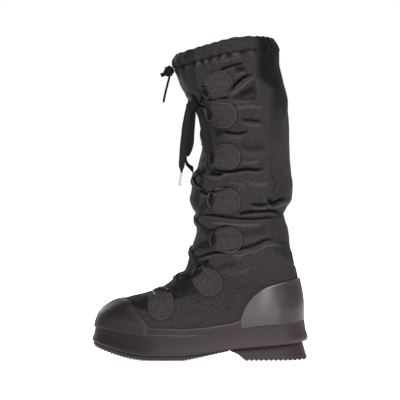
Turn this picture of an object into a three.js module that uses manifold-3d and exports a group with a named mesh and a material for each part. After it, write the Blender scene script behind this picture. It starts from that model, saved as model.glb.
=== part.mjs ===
// A tall lace-up winter boot for the left foot: a gathered nylon upper on a moulded rubber bottom.
// Millimetres. +Z is up and the toe points towards -X. The origin is the middle of the heel's
// ground face, on the ground. The outer (lateral) side of the foot faces -Y.
import * as THREE from 'three';
import { mergeVertices } from 'three/addons/utils/BufferGeometryUtils.js';
import Module from 'manifold-3d';

const wasm = await Module();
wasm.setup();

// Driving sizes of the foot and the shaft
const soleLength = 285;
const ballWidth = 107;
const heelSetback = 42; // from the origin to the back of the sole
const ankleHeight = 131;
const bootHeight = 424;
const shaftDepth = 116;
const shaftWidth = 104;
const toeInswing = 7; // how far the toe leans to the inner side
const upperWall = 3;
const clearance = 0.3; // between pieces that meet

// Driving sizes of the sole
const toeSpring = 17;
const plateThickness = 6;
const heelLift = 20; // underside of the cup over the heel's middle
const archRise = 12.5;
const plateInset = 3; // the outsole's edge, in from the sidewall's foot
const bedThickness = 6.5;
const sidewallHeight = 29;
const sidewallLean = 5; // how far the sidewall's top stands in from its foot
const lipUndercut = 2;
const heelTopInset = 7.5;
const heelFootInset = 0.8;
const treadPitch = 8.6;
const grooveWidth = 3;
const grooveDepth = 1.8;
const insoleThickness = 4;

// Driving sizes of what is laid over the upper
const capThickness = 2.2;
const counterThickness = 2.3;
const foxingHeight = 8;
const foxingThickness = 1.7;
const tunnelHeight = 14; // drawcord tunnel round the collar
const tunnelThickness = 1.8;
const tabLength = 33;
const tabWidth = 30;
const tabCorner = 7;
const tabThickness = 2;
const ringCord = 2.2; // the cord loop that each tab holds
const ringWidth = 19;
const ringReach = 7;

// Driving sizes of the lace and the drawcord
const laceWidth = 8;
const laceThickness = 1.3;
const laceTrim = 7; // from a crossing's end to the loop it comes out of
const aglet = { length: 17, diameter: 3.2 };
const drawcordDiameter = 3;

const around = 28; // points round each section of the upper
const soleAround = 40;
const shaftHeight = bootHeight - ankleHeight;

// Sections of the foot, from the feather edge up to the ankle. frontAlong and backAlong are shares of
// the sole's length from the toe, heights are shares of the ankle's, width is a share of the ball's,
// and foot says how much of the plan is foot-shaped rather than oval.
const footSections = [
  // frontAlong, frontHeight, backAlong, backHeight, width, foot
  [0.046, 0.168, 0.968, 0.229, 0.86, 1],
  [0.023, 0.351, 0.975, 0.412, 0.869, 1],
  [0.033, 0.44, 0.975, 0.496, 0.86, 1],
  [0.06, 0.511, 0.974, 0.573, 0.841, 0.95],
  [0.103, 0.57, 0.97, 0.641, 0.822, 0.9],
  [0.163, 0.618, 0.966, 0.699, 0.794, 0.8],
  [0.235, 0.656, 0.96, 0.752, 0.776, 0.7],
  [0.298, 0.693, 0.956, 0.802, 0.766, 0.6],
  [0.342, 0.748, 0.951, 0.855, 0.766, 0.5],
  [0.385, 0.817, 0.945, 0.916, 0.776, 0.4],
  [0.427, 0.893, 0.938, 0.977, 0.794, 0.25],
  [0.448, 1, 0.93, 1.057, 0.804, 0.1],
];

// Sections of the shaft. front and back are shares of its depth from the origin, heights are shares
// of its height above the ankle, width is a share of its width, and crown is how far the section's
// middle stands over the straight line from its front to its back, as a share of the height.
const shaftSections = [
  // front, frontHeight, back, backHeight, width, crown
  [-0.957, 0.044, 0.159, 0.065, 0.837, 0],
  [-0.902, 0.137, 0.134, 0.143, 0.846, 0],
  [-0.907, 0.177, 0.111, 0.177, 0.846, 0],
  [-0.914, 0.205, 0.082, 0.203, 0.827, 0], // the pinch where the slack shaft sits down
  [-0.953, 0.232, 0.116, 0.232, 0.865, 0],
  [-0.975, 0.27, 0.178, 0.27, 0.913, 0],
  [-0.957, 0.324, 0.191, 0.324, 0.942, 0],
  [-0.879, 0.44, 0.161, 0.44, 0.962, 0],
  [-0.842, 0.502, 0.154, 0.505, 0.981, 0],
  [-0.862, 0.628, 0.14, 0.645, 1.01, 0],
  [-0.934, 0.679, 0.127, 0.706, 1.019, 0],
  [-1.028, 0.734, 0.1, 0.765, 1.01, 0],
  [-1.102, 0.795, 0.062, 0.826, 0.99, 0],
  [-1.158, 0.857, 0.036, 0.887, 0.962, 0.004],
  [-1.177, 0.891, 0.036, 0.932, 0.942, 0.012],
  [-1.147, 0.918, -0.02, 0.988, 0.885, 0.022],
];

// Plan of the foot: half widths on the two sides as shares of the width, from the toe to the heel.
const planTable = {
  along: [0, 0.15, 0.32, 0.5, 0.65, 0.8, 0.9, 1],
  lateral: [0.42, 0.47, 0.52, 0.47, 0.41, 0.375, 0.37, 0.36],
  medial: [0.46, 0.48, 0.48, 0.41, 0.34, 0.36, 0.37, 0.36],
};

// Lift of the cup over the plate as a share of the heel's, and the sidewall's height as a share of
// its own, both from the toe to the heel.
const liftTable = {
  along: [0.425, 0.533, 0.635, 0.747, 0.853, 1],
  lift: [0, 0.25, 0.607, 0.786, 0.964, 1.34],
};
const sidewallTable = {
  along: [0, 0.095, 0.158, 0.277, 0.463, 0.639, 0.684, 0.8, 1],
  share: [0.79, 0.95, 0.98, 0.993, 0.93, 0.88, 0.99, 1.03, 1.02],
};

// Where each pair of lace tabs sits: height as a share of the boot's, place along the section from
// its front to its back, and the lean in degrees of the tab's long axis from level, tail end up.
const tabTable = [
  // height, along, lean
  [0.846, 0.362, 23],
  [0.752, 0.264, -2],
  [0.624, 0.296, 0],
  [0.489, 0.358, -3],
  [0.37, 0.36, -3],
  [0.238, 0.338, -47],
  [0.168, 0.28, -85],
];

// Edges of the rubber overlays in the side view: shares of the sole's length and the ankle's height.
const capEdge = [
  // along, height
  [0.125, 0.72],
  [0.14, 0.615],
  [0.186, 0.578],
  [0.202, 0.507],
  [0.228, 0.447],
  [0.268, 0.33],
];
const counterEdge = [
  // along, height
  [1.02, 0.83],
  [0.96, 0.812],
  [0.814, 0.733],
  [0.748, 0.637],
  [0.707, 0.524],
  [0.687, 0.411],
];

const colours = {
  nylon: 0x3e3a3d,
  rubber: 0x4b464b,
  webbing: 0x2c2a2c,
  cord: 0x1a1a1b,
  lace: 0x262527,
  insole: 0x6a6460,
  aglet: 0xc9ccd0,
};
const material = (colour, roughness) =>
  new THREE.MeshStandardMaterial({ color: colour, roughness, metalness: 0 });
const finishes = {
  nylon: material(colours.nylon, 0.85),
  rubber: material(colours.rubber, 0.5),
  webbing: material(colours.webbing, 0.8),
  cord: material(colours.cord, 0.4),
  lace: material(colours.lace, 0.85),
  insole: material(colours.insole, 0.9),
  aglet: material(colours.aglet, 0.3),
};

const boot = new THREE.Group();
const vector = (x, y, z) => new THREE.Vector3(x, y, z);
const mix = THREE.MathUtils.lerp;
const xAt = (along) => heelSetback - soleLength * (1 - along);
const alongAt = (x) => 1 - (heelSetback - x) / soleLength;

function addPiece(name, geometry, finish) {
  const mesh = new THREE.Mesh(geometry, finish);
  mesh.name = name;
  boot.add(mesh);
}

// A smooth curve through a table's points that stays flat where the table is flat.
function curveAt(places, values, place) {
  const last = places.length - 1;
  if (place <= places[0]) return values[0];
  if (place >= places[last]) return values[last];
  const slope = (i) => (values[i + 1] - values[i]) / (places[i + 1] - places[i]);
  const tangent = (i) => {
    if (i === 0 || i === last) return slope(Math.min(i, last - 1));
    const before = slope(i - 1);
    const after = slope(i);
    return before * after <= 0 ? 0 : (2 * before * after) / (before + after);
  };
  let i = 0;
  while (place > places[i + 1]) i += 1;
  const step = places[i + 1] - places[i];
  const t = (place - places[i]) / step;
  const rise = t * t * (3 - 2 * t);
  return (
    mix(values[i], values[i + 1], rise) +
    step * (tangent(i) * t * (1 - t) ** 2 - tangent(i + 1) * t * t * (1 - t))
  );
}

// Closed solids

function closedGeometry(positions, faces) {
  let geometry = new THREE.BufferGeometry();
  geometry.setAttribute('position', new THREE.Float32BufferAttribute(positions, 3));
  geometry.setIndex(faces.flat());
  geometry = mergeVertices(geometry, 1e-3);
  const at = geometry.getAttribute('position');
  const index = geometry.getIndex().array;
  const kept = [];
  let volume = 0;
  for (let i = 0; i < index.length; i += 3) {
    const [a, b, c] = [index[i], index[i + 1], index[i + 2]];
    if (a === b || b === c || c === a) continue;
    kept.push([a, b, c]);
    const [p, q, r] = [a, b, c].map((n) => new THREE.Vector3().fromBufferAttribute(at, n));
    volume += p.dot(q.cross(r));
  }
  if (volume < 0) kept.forEach((face) => face.reverse());
  geometry.setIndex(kept.flat());
  return geometry;
}

// A skin over rings of equal count, closed by a flat cap at each end, or on itself as a tube wall.
function loft(rings, closesOnItself = false) {
  const count = rings[0].length;
  const positions = rings.flat().flatMap((p) => [p.x, p.y, p.z]);
  const faces = [];
  const spans = closesOnItself ? rings.length : rings.length - 1;
  for (let r = 0; r < spans; r += 1) {
    const low = r * count;
    const high = ((r + 1) % rings.length) * count;
    for (let k = 0; k < count; k += 1) {
      const next = (k + 1) % count;
      faces.push([low + k, low + next, high + next], [low + k, high + next, high + k]);
    }
  }
  if (!closesOnItself) {
    for (const [start, turned] of [[0, true], [(rings.length - 1) * count, false]]) {
      for (let k = 0; k < count / 2; k += 1) {
        const far = (count - k) % count;
        const pair = [[k, k + 1, count - k - 1], [k, count - k - 1, far]];
        for (const corners of pair) {
          if (new Set(corners).size < 3) continue;
          const face = corners.map((n) => start + n);
          faces.push(turned ? face.reverse() : face);
        }
      }
    }
  }
  return closedGeometry(positions, faces);
}

function solidOf(geometry) {
  const bare = new THREE.BufferGeometry();
  bare.setAttribute('position', geometry.getAttribute('position'));
  bare.setIndex(geometry.getIndex());
  const merged = mergeVertices(bare, 1e-4);
  return new wasm.Manifold(
    new wasm.Mesh({
      numProp: 3,
      vertProperties: new Float32Array(merged.getAttribute('position').array),
      triVerts: new Uint32Array(merged.getIndex().array),
    }),
  );
}

function geometryOf(solid) {
  const mesh = solid.getMesh();
  const faces = [];
  for (let i = 0; i < mesh.triVerts.length; i += 3) {
    faces.push([mesh.triVerts[i], mesh.triVerts[i + 1], mesh.triVerts[i + 2]]);
  }
  return closedGeometry(Array.from(mesh.vertProperties), faces);
}

// A straight prism over an outline in the plane of across and up, from one distance to another
// along their cross product.
function prism(outline, origin, across, up, from, to) {
  const shape = new THREE.Shape(outline.map(([a, b]) => new THREE.Vector2(a, b)));
  const geometry = new THREE.ExtrudeGeometry(shape, { depth: to - from, bevelEnabled: false });
  const axis = across.clone().cross(up).normalize();
  const place = new THREE.Matrix4().makeBasis(across, up, axis);
  place.setPosition(origin.clone().addScaledVector(axis, from));
  geometry.applyMatrix4(place);
  geometry.deleteAttribute('normal');
  geometry.deleteAttribute('uv');
  return solidOf(mergeVertices(geometry, 1e-4));
}

// A prism over a side-view outline; the first distance is towards the medial side.
const sideReach = 200;
const sidePrism = (outline, from = -sideReach, to = sideReach) =>
  prism(outline, vector(0, 0, 0), vector(1, 0, 0), vector(0, 0, 1), from, to);

// Heights of the sole along its length

const springStart = 0.2632; // where the toe starts to rise
const archStart = 0.4246;
const archEnd = 0.635;
const heelPad = 0.45; // the bed's extra thickness under the heel, as a share

const springAt = (along) => toeSpring * Math.max(0, 1 - along / springStart) ** 1.7;
const liftAt = (along) => curveAt(liftTable.along, liftTable.lift, along);
const archAt = (along) =>
  archRise * THREE.MathUtils.clamp((along - archStart) / (archEnd - archStart), 0, 1) ** 1.05;
const treadAt = (along) => springAt(along) + archAt(along);
const undersideAt = (along) =>
  plateThickness + springAt(along) + (heelLift - plateThickness) * liftAt(along);
const bedAt = (along) => undersideAt(along) + bedThickness * (1 + heelPad * liftAt(along));
const ledgeAt = (along) =>
  undersideAt(along) + sidewallHeight * curveAt(sidewallTable.along, sidewallTable.share, along);

// The foot's plan

const toeRound = 0.3;
const heelRound = 0.14;
const ovalRound = 0.5;

function endRound(along, toeShare, heelShare) {
  let past = 0;
  if (along < toeShare) past = 1 - along / toeShare;
  if (along > 1 - heelShare) past = 1 - (1 - along) / heelShare;
  return Math.sqrt(Math.max(0, 1 - past * past));
}

const sideShare = (along, side) =>
  curveAt(planTable.along, side < 0 ? planTable.lateral : planTable.medial, along);
const inswingAt = (along) => toeInswing * Math.max(0, 1 - along) ** 2;

// Point k of a ring: 0 is the front, and the first half runs along the lateral side.
function ringPlace(k, count) {
  const theta = (2 * Math.PI * k) / count;
  return { along: (1 - Math.cos(theta)) / 2, side: theta > Math.PI ? 1 : -1 };
}

// The upper's outer surface

const sections = [
  ...footSections.map(([fa, fh, ba, bh, width, foot]) => ({
    front: vector(xAt(fa), 0, fh * ankleHeight),
    back: vector(xAt(ba), 0, bh * ankleHeight),
    width: width * ballWidth,
    foot,
    crown: 0,
  })),
  ...shaftSections.map(([front, fh, back, bh, width, crown]) => ({
    front: vector(front * shaftDepth, 0, ankleHeight + fh * shaftHeight),
    back: vector(back * shaftDepth, 0, ankleHeight + bh * shaftHeight),
    width: width * shaftWidth,
    foot: 0,
    crown: crown * shaftHeight,
  })),
];

// A section's line in the side view, crowned most a little behind its middle.
const crownSkew = 1.5;
function sectionLine(section, along) {
  const point = section.front.clone().lerp(section.back, along);
  point.z += section.crown * Math.sin(Math.PI * along ** crownSkew);
  return point;
}

function sectionPoint(section, k) {
  const { along, side } = ringPlace(k, around);
  const point = sectionLine(section, along);
  const footAlong = alongAt(point.x);
  const half = section.width * mix(0.5, sideShare(footAlong, side), section.foot);
  const round = endRound(
    along,
    mix(ovalRound, toeRound, section.foot),
    mix(ovalRound, heelRound, section.foot),
  );
  point.y = side * half * round + inswingAt(footAlong) * section.foot;
  return point;
}

const ringIndices = Array.from({ length: around }, (_, k) => k);
const outerRings = sections.map((section) => ringIndices.map((k) => sectionPoint(section, k)));
for (const point of outerRings[0]) point.z = bedAt(alongAt(point.x)) + clearance;

const outerNormals = outerRings.map((ring, r) =>
  ring.map((_, k) => {
    const before = ring[(k + around - 1) % around];
    const after = ring[(k + 1) % around];
    const below = outerRings[Math.max(r - 1, 0)][k];
    const above = outerRings[Math.min(r + 1, outerRings.length - 1)][k];
    const normal = after.clone().sub(before).cross(above.clone().sub(below));
    if (r === 0) normal.z = 0;
    return normal.normalize();
  }),
);
if (outerNormals[1][0].x > 0) outerNormals.flat().forEach((normal) => normal.negate());

const offsetRings = (distance) =>
  outerRings.map((ring, r) =>
    ring.map((point, k) => point.clone().addScaledVector(outerNormals[r][k], distance)),
  );

// The upper's whole outer form, solid inside, grown by a distance.
const forms = new Map();
function form(distance) {
  if (!forms.has(distance)) forms.set(distance, solidOf(loft(offsetRings(distance))));
  return forms.get(distance);
}

// An overlay: what lies between two grown forms, inside a prism.
const overlay = (inner, thickness, ...prisms) => {
  const shell = form(inner + thickness).subtract(form(inner));
  return prisms.reduce((left, cutter) => left.intersect(cutter), shell);
};

// A place on the upper, by its turn round the section (0 to 1, lateral first) and its level, the
// section's number with a fraction.
function blended(rings, turn, level) {
  const place = (((turn % 1) + 1) % 1) * around;
  const k = Math.floor(place) % around;
  const next = (k + 1) % around;
  const row = THREE.MathUtils.clamp(Math.floor(level), 0, sections.length - 2);
  const low = rings[row][k].clone().lerp(rings[row][next], place - Math.floor(place));
  const high = rings[row + 1][k].clone().lerp(rings[row + 1][next], place - Math.floor(place));
  return low.lerp(high, level - row);
}
const normalAt = (turn, level) => blended(outerNormals, turn, level).normalize();
const upperPoint = (turn, level, distance = 0) =>
  blended(outerRings, turn, level).addScaledVector(normalAt(turn, level), distance);

function levelAt(turn, height) {
  let low = 0;
  let high = sections.length - 1;
  while (high - low > 1e-4) {
    const middle = (low + high) / 2;
    if (upperPoint(turn, middle).z < height) low = middle;
    else high = middle;
  }
  return (low + high) / 2;
}

// The upper's place nearest to a point, sought along two directions from a known place.
function placeNear(target, start, first, second) {
  const place = { ...start };
  const step = 1e-3;
  for (let pass = 0; pass < 15; pass += 1) {
    const here = upperPoint(place.turn, place.level);
    const byTurn = upperPoint(place.turn + step, place.level).sub(here).divideScalar(step);
    const byLevel = upperPoint(place.turn, place.level + step).sub(here).divideScalar(step);
    const miss = target.clone().sub(here);
    const [a, b, c, d] = [byTurn.dot(first), byLevel.dot(first), byTurn.dot(second), byLevel.dot(second)];
    const whole = a * d - b * c;
    place.turn += (0.8 * (miss.dot(first) * d - miss.dot(second) * b)) / whole;
    place.level += (0.8 * (miss.dot(second) * a - miss.dot(first) * c)) / whole;
  }
  return place;
}

// Upper: one wall, open at the collar and underneath

const innerRings = offsetRings(-upperWall).map((ring, r) =>
  ring.map((point, k) => (r === 0 ? point.setZ(outerRings[0][k].z) : point)),
);
addPiece('upper', loft([...outerRings, ...innerRings.reverse()], true), finishes.nylon);

// Sole outline, with points that lie in from it by an inset

function soleOutline() {
  return Array.from({ length: soleAround }, (_, k) => {
    const { along, side } = ringPlace(k, soleAround);
    const half = ballWidth * sideShare(along, side) * endRound(along, toeRound, heelRound);
    return vector(xAt(along), side * half + inswingAt(along), 0);
  });
}

function insetOutline(outline, inset) {
  const count = outline.length;
  return outline.map((point, k) => {
    const run = outline[(k + 1) % count].clone().sub(outline[(k + count - 1) % count]);
    const inward = vector(-run.y, run.x, 0).normalize();
    return point.clone().addScaledVector(inward, inset);
  });
}

const outline = soleOutline();
const soleRing = (inset, heightAt) =>
  insetOutline(outline, inset).map((p) => vector(p.x, p.y, heightAt(alongAt(p.x))));

// Rubber cup: floor and sidewall in one, hollow for the upper

const lipShare = 0.14; // where the sidewall stands out most, as a share of its height
const wallAt = (share) => (along) => mix(undersideAt(along), ledgeAt(along), share);
const cupBody = loft([
  soleRing(lipUndercut, wallAt(0)),
  soleRing(0, wallAt(lipShare)),
  soleRing(sidewallLean * 0.6, wallAt(0.5)),
  soleRing(sidewallLean, wallAt(1)),
]);
const cavityRings = offsetRings(clearance);
for (const point of cavityRings[0]) point.z = bedAt(alongAt(point.x));
const cup = solidOf(cupBody).subtract(solidOf(loft(cavityRings)));
addPiece('sole_cup', geometryOf(cup), finishes.rubber);

// Insole, on the bed inside the upper

const insoleInset = upperWall + clearance;
const insoleRing = (lift) =>
  outerRings[0].map((point, k) => {
    const inner = point.clone().addScaledVector(outerNormals[0][k], -insoleInset);
    return inner.setZ(bedAt(alongAt(inner.x)) + lift);
  });
addPiece(
  'insole',
  loft([insoleRing(clearance), insoleRing(clearance + insoleThickness)]),
  finishes.insole,
);

// Outsole and heel, with cross grooves

const farBelow = -50;
const farAbove = 200;
const grooveReach = 160;

function withGrooves(solid, places) {
  return places.reduce((left, x) => {
    const groove = new THREE.BoxGeometry(grooveWidth, grooveReach, grooveDepth * 2);
    groove.translate(x, 0, treadAt(alongAt(x)));
    groove.deleteAttribute('normal');
    groove.deleteAttribute('uv');
    return left.subtract(solidOf(mergeVertices(groove, 1e-4)));
  }, solid);
}

const forefootCentre = xAt((springStart + archStart) / 2);
const heelFrontFoot = -0.145; // the heel's front edge on the ground, as a share of the sole's length
const heelFrontTop = -0.179;
const shankEdge = xAt(archEnd);
const heelStepHeight = 10.7;

const plateFrom = xAt(0.02);
const grooveCount = (from, to) => Math.floor((to - from) / treadPitch);
const forward = grooveCount(plateFrom, forefootCentre);
const backward = grooveCount(forefootCentre, shankEdge);
const forefootGrooves = Array.from(
  { length: forward + backward },
  (_, i) => forefootCentre + (i - forward + 0.5) * treadPitch,
);
const plate = loft([
  soleRing(plateInset, treadAt),
  soleRing(lipUndercut, (along) => undersideAt(along) - clearance),
]);
const plateRegion = sidePrism([
  [xAt(-0.1), farBelow],
  [shankEdge - clearance, farBelow],
  [shankEdge - clearance, farAbove],
  [xAt(-0.1), farAbove],
]);
addPiece(
  'outsole',
  geometryOf(withGrooves(solidOf(plate).intersect(plateRegion), forefootGrooves)),
  finishes.rubber,
);

const heelBlock = loft([
  soleRing(heelFootInset, () => 0),
  soleRing(heelTopInset, (along) => undersideAt(along) - clearance),
]);
const heelRegion = sidePrism([
  [heelFrontFoot * soleLength, farBelow],
  [heelFrontFoot * soleLength, 0],
  [heelFrontTop * soleLength, heelStepHeight],
  [shankEdge, archRise],
  [shankEdge, farAbove],
  [xAt(1.1), farAbove],
  [xAt(1.1), farBelow],
]);
const heelGrooveSide = Math.floor((-heelFrontFoot * soleLength) / treadPitch);
const heelGrooves = Array.from(
  { length: 2 * heelGrooveSide },
  (_, i) => (i - heelGrooveSide + 0.5) * treadPitch,
);
addPiece(
  'heel',
  geometryOf(withGrooves(solidOf(heelBlock).intersect(heelRegion), heelGrooves)),
  finishes.rubber,
);

// Toe cap, heel counter and foxing, cut between two forms of the upper

const edgePoint = ([along, height]) => new THREE.Vector2(xAt(along), height * ankleHeight);
const edgeCurve = (table, count) =>
  new THREE.SplineCurve(table.map(edgePoint)).getPoints(count).map((p) => [p.x, p.y]);
const ledgeRing = soleRing(sidewallLean, wallAt(1)).slice(0, soleAround / 2 + 1);

// The sidewall's top edge as the cup has it, from one place along the sole to another, lifted.
function ledgeLine(from, to, lift) {
  const [low, high] = [Math.min(from, to), Math.max(from, to)];
  const inner = ledgeRing.map((p) => alongAt(p.x)).filter((along) => along > low && along < high);
  const line = [low, ...inner, high].map((along) => {
    const x = xAt(along);
    const next = Math.max(1, ledgeRing.findIndex((p) => p.x >= x));
    const [a, b] = next > 0 && ledgeRing[next] ? [ledgeRing[next - 1], ledgeRing[next]] : [];
    const height = a ? mix(a.z, b.z, (x - a.x) / (b.x - a.x)) : ledgeAt(along);
    return [x, height + lift];
  });
  return from < to ? line : line.reverse();
}
const capFoot = capEdge[capEdge.length - 1][0] + 0.008;
const counterFoot = counterEdge[counterEdge.length - 1][0] - 0.002;

const capOutline = [
  ...edgeCurve(capEdge, 8),
  ...ledgeLine(capFoot, -0.03, clearance),
  [xAt(-0.03), ankleHeight],
];
addPiece(
  'toe_cap',
  geometryOf(overlay(clearance, capThickness, sidePrism(capOutline))),
  finishes.rubber,
);

const counterOutline = [
  ...edgeCurve(counterEdge, 9),
  ...ledgeLine(counterFoot, 1.02, clearance),
];
addPiece(
  'heel_counter',
  geometryOf(overlay(clearance, counterThickness, sidePrism(counterOutline))),
  finishes.rubber,
);

const foxingFront = capFoot + 2 * clearance / soleLength;
const foxingBack = counterFoot - 2 * clearance / soleLength;
const foxingOutline = [
  ...ledgeLine(foxingFront, foxingBack, clearance),
  ...ledgeLine(foxingBack, foxingFront, clearance + foxingHeight),
];
for (const [side, from, to] of [['lateral', 0, sideReach], ['medial', -sideReach, 0]]) {
  addPiece(
    `foxing_${side}`,
    geometryOf(overlay(clearance, foxingThickness, sidePrism(foxingOutline, from, to))),
    finishes.rubber,
  );
}

// Drawcord tunnel: a raised band just under the collar's edge

const rim = sections[sections.length - 1];
const rimDrop = 3; // from the rim down to the tunnel
const rimSteps = 6;
const rimLine = (drop) =>
  Array.from({ length: rimSteps + 1 }, (_, i) => {
    const point = sectionLine(rim, i / rimSteps);
    return [point.x, point.z - drop];
  });
const besideRim = 30;
const beside = ([x, z], step) => [x + step, z];
const upperLine = rimLine(rimDrop);
const lowerLine = rimLine(rimDrop + tunnelHeight).reverse();
const tunnelRegion = sidePrism([
  beside(upperLine[0], -besideRim),
  ...upperLine,
  beside(upperLine[rimSteps], besideRim),
  beside(lowerLine[0], besideRim),
  ...lowerLine,
  beside(lowerLine[rimSteps], -besideRim),
]);
addPiece(
  'collar_tunnel',
  geometryOf(overlay(clearance, tunnelThickness, tunnelRegion)),
  finishes.nylon,
);

// Lace tabs: a webbing patch and the cord loop that it holds, on both sides

function tabFrame([height, along, lean], side) {
  const turn = (side * Math.acos(1 - 2 * along)) / (2 * Math.PI);
  const level = levelAt(turn, height * bootHeight);
  const out = normalAt(turn, level);
  const angle = THREE.MathUtils.degToRad(lean);
  const tail = vector(Math.cos(angle), 0, Math.sin(angle));
  tail.addScaledVector(out, -tail.dot(out)).normalize();
  const across = out.clone().cross(tail).normalize();
  return { place: { turn, level }, centre: upperPoint(turn, level), out, tail, across };
}

function onUpper(frame, along, across, distance) {
  const target = frame.centre.clone();
  target.addScaledVector(frame.tail, along).addScaledVector(frame.across, across);
  const place = placeNear(target, frame.place, frame.tail, frame.across);
  return upperPoint(place.turn, place.level, distance);
}

function tabOutline() {
  const [long, wide, cut] = [tabLength / 2, tabWidth / 2, tabCorner];
  return [
    [-long + cut, -wide],
    [long - cut, -wide],
    [long, -wide + cut],
    [long, wide - cut],
    [long - cut, wide],
    [-long + cut, wide],
    [-long, wide - cut],
    [-long, -wide + cut],
  ];
}

// A round cord along a list of points
function roundCord(points, diameter, sides, steps) {
  const section = new THREE.Shape(
    Array.from({ length: sides }, (_, i) => {
      const angle = (2 * Math.PI * i) / sides;
      return new THREE.Vector2(Math.cos(angle), Math.sin(angle)).multiplyScalar(diameter / 2);
    }),
  );
  const geometry = new THREE.ExtrudeGeometry(section, {
    steps,
    bevelEnabled: false,
    extrudePath: new THREE.CatmullRomCurve3(points),
  });
  geometry.deleteAttribute('normal');
  geometry.deleteAttribute('uv');
  const merged = mergeVertices(geometry, 1e-3);
  const index = Array.from(merged.getIndex().array);
  const faces = [];
  for (let i = 0; i < index.length; i += 3) faces.push(index.slice(i, i + 3));
  return closedGeometry(Array.from(merged.getAttribute('position').array), faces);
}

const tabDepth = 12; // how far a tab's prism reaches in and out of the wall
const ringLift = clearance * 2 + ringCord / 2;
const ringStart = tabLength / 2 + clearance;
const ringBite = 4.5; // from the middle of a loop to each of the two lace runs in it
const rings = { lateral: [], medial: [] };
for (const [sideName, side] of [['lateral', 1], ['medial', -1]]) {
  tabTable.forEach((row, i) => {
    const frame = tabFrame(row, side);
    const region = prism(tabOutline(), frame.centre, frame.tail, frame.across, -tabDepth, tabDepth);
    addPiece(
      `lace_tab_${sideName}_${i + 1}`,
      geometryOf(overlay(clearance, tabThickness, region)),
      finishes.webbing,
    );
    const ringPoint = (along, across) => onUpper(frame, -along, across, ringLift);
    const [half, far] = [ringWidth / 2, ringStart + ringReach];
    const ringPoints = [
      ringPoint(ringStart, -half * 0.8),
      ringPoint(ringStart + ringReach * 0.45, -half),
      ringPoint(far - ringReach * 0.15, -half * 0.6),
      ringPoint(far, 0),
      ringPoint(far - ringReach * 0.15, half * 0.6),
      ringPoint(ringStart + ringReach * 0.45, half),
      ringPoint(ringStart, half * 0.8),
    ];
    addPiece(
      `lace_ring_${sideName}_${i + 1}`,
      roundCord(ringPoints, ringCord, 6, 6),
      finishes.cord,
    );
    rings[sideName].push({
      above: onUpper(frame, -far, side * ringBite, 0),
      below: onUpper(frame, -far, -side * ringBite, 0),
      apex: onUpper(frame, -far, 0, 0),
    });
  });
}

// Lace crossings: flat strips on the upper, cut from its own form

const stripInner = 0.5;
const stripDepth = 45;

function strip(from, to, startTrim, endTrim) {
  const run = to.clone().sub(from).normalize();
  const wide = new THREE.Vector2(-run.y, run.x).multiplyScalar(laceWidth / 2);
  const start = from.clone().addScaledVector(run, startTrim);
  const end = to.clone().addScaledVector(run, -endTrim);
  const corners = [
    start.clone().sub(wide),
    end.clone().sub(wide),
    end.clone().add(wide),
    start.clone().add(wide),
  ];
  return corners.map((p) => [p.x, p.y]);
}

// Strips between pairs of points on the upper, seen along the front's own normal.
function laceStrips(name, pairs, inner = stripInner, endTrim = laceTrim) {
  const height = pairs.flat().reduce((sum, p) => sum + p.z, 0) / (2 * pairs.length);
  const level = levelAt(0, height);
  const out = normalAt(0, level);
  const origin = upperPoint(0, level);
  const side = vector(0, 1, 0);
  const up = out.clone().cross(side).normalize();
  const flat = (p) => {
    const local = p.clone().sub(origin);
    return new THREE.Vector2(local.dot(side), local.dot(up));
  };
  const regions = pairs.map(([from, to]) => {
    const corners = strip(flat(from), flat(to), laceTrim, endTrim);
    return prism(corners, origin, side, up, -stripDepth, stripDepth);
  });
  const region = regions.reduce((left, right) => left.add(right));
  addPiece(name, geometryOf(overlay(inner, laceThickness, region)), finishes.lace);
}

for (let i = 0; i < tabTable.length - 1; i += 1) {
  laceStrips(`lace_crossing_${i + 1}`, [
    [rings.lateral[i].below, rings.medial[i + 1].above],
    [rings.medial[i].below, rings.lateral[i + 1].above],
  ]);
}
const lowest = tabTable.length - 1;
laceStrips('lace_bottom_bar', [[rings.lateral[lowest].below, rings.medial[lowest].below]]);

// The bow: a knot that stands on the front, two hanging loops and two ends with their aglets

const knot = { height: 0.79, along: 0.07, size: vector(7.6, 7.2, 7.6) };
const knotTurn = Math.acos(1 - 2 * knot.along) / (2 * Math.PI);
const knotLevel = levelAt(knotTurn, knot.height * bootHeight);
const topRunInner = stripInner + laceThickness + clearance;
const knotSeat = topRunInner + laceThickness + 2 * clearance;
const knotCentre = upperPoint(knotTurn, knotLevel, knotSeat + knot.size.y);

// The two runs from the top loops to the knot lie over the first crossing.
const knotFoot = upperPoint(knotTurn, knotLevel);
laceStrips(
  'lace_top_run',
  [
    [rings.lateral[0].above, knotFoot],
    [rings.medial[0].above, knotFoot],
  ],
  topRunInner,
  0,
);

function lump(centre, size, turns, rows) {
  const geometry = new THREE.SphereGeometry(1, turns, rows);
  geometry.scale(size.x, size.y, size.z);
  geometry.translate(centre.x, centre.y, centre.z);
  geometry.deleteAttribute('normal');
  geometry.deleteAttribute('uv');
  const merged = mergeVertices(geometry, 1e-3);
  const index = Array.from(merged.getIndex().array);
  const faces = [];
  for (let i = 0; i < index.length; i += 3) faces.push(index.slice(i, i + 3));
  return closedGeometry(Array.from(merged.getAttribute('position').array), faces);
}

const placed = (origin, offsets) => offsets.map(([x, y, z]) => vector(x, y, z).add(origin));

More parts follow.
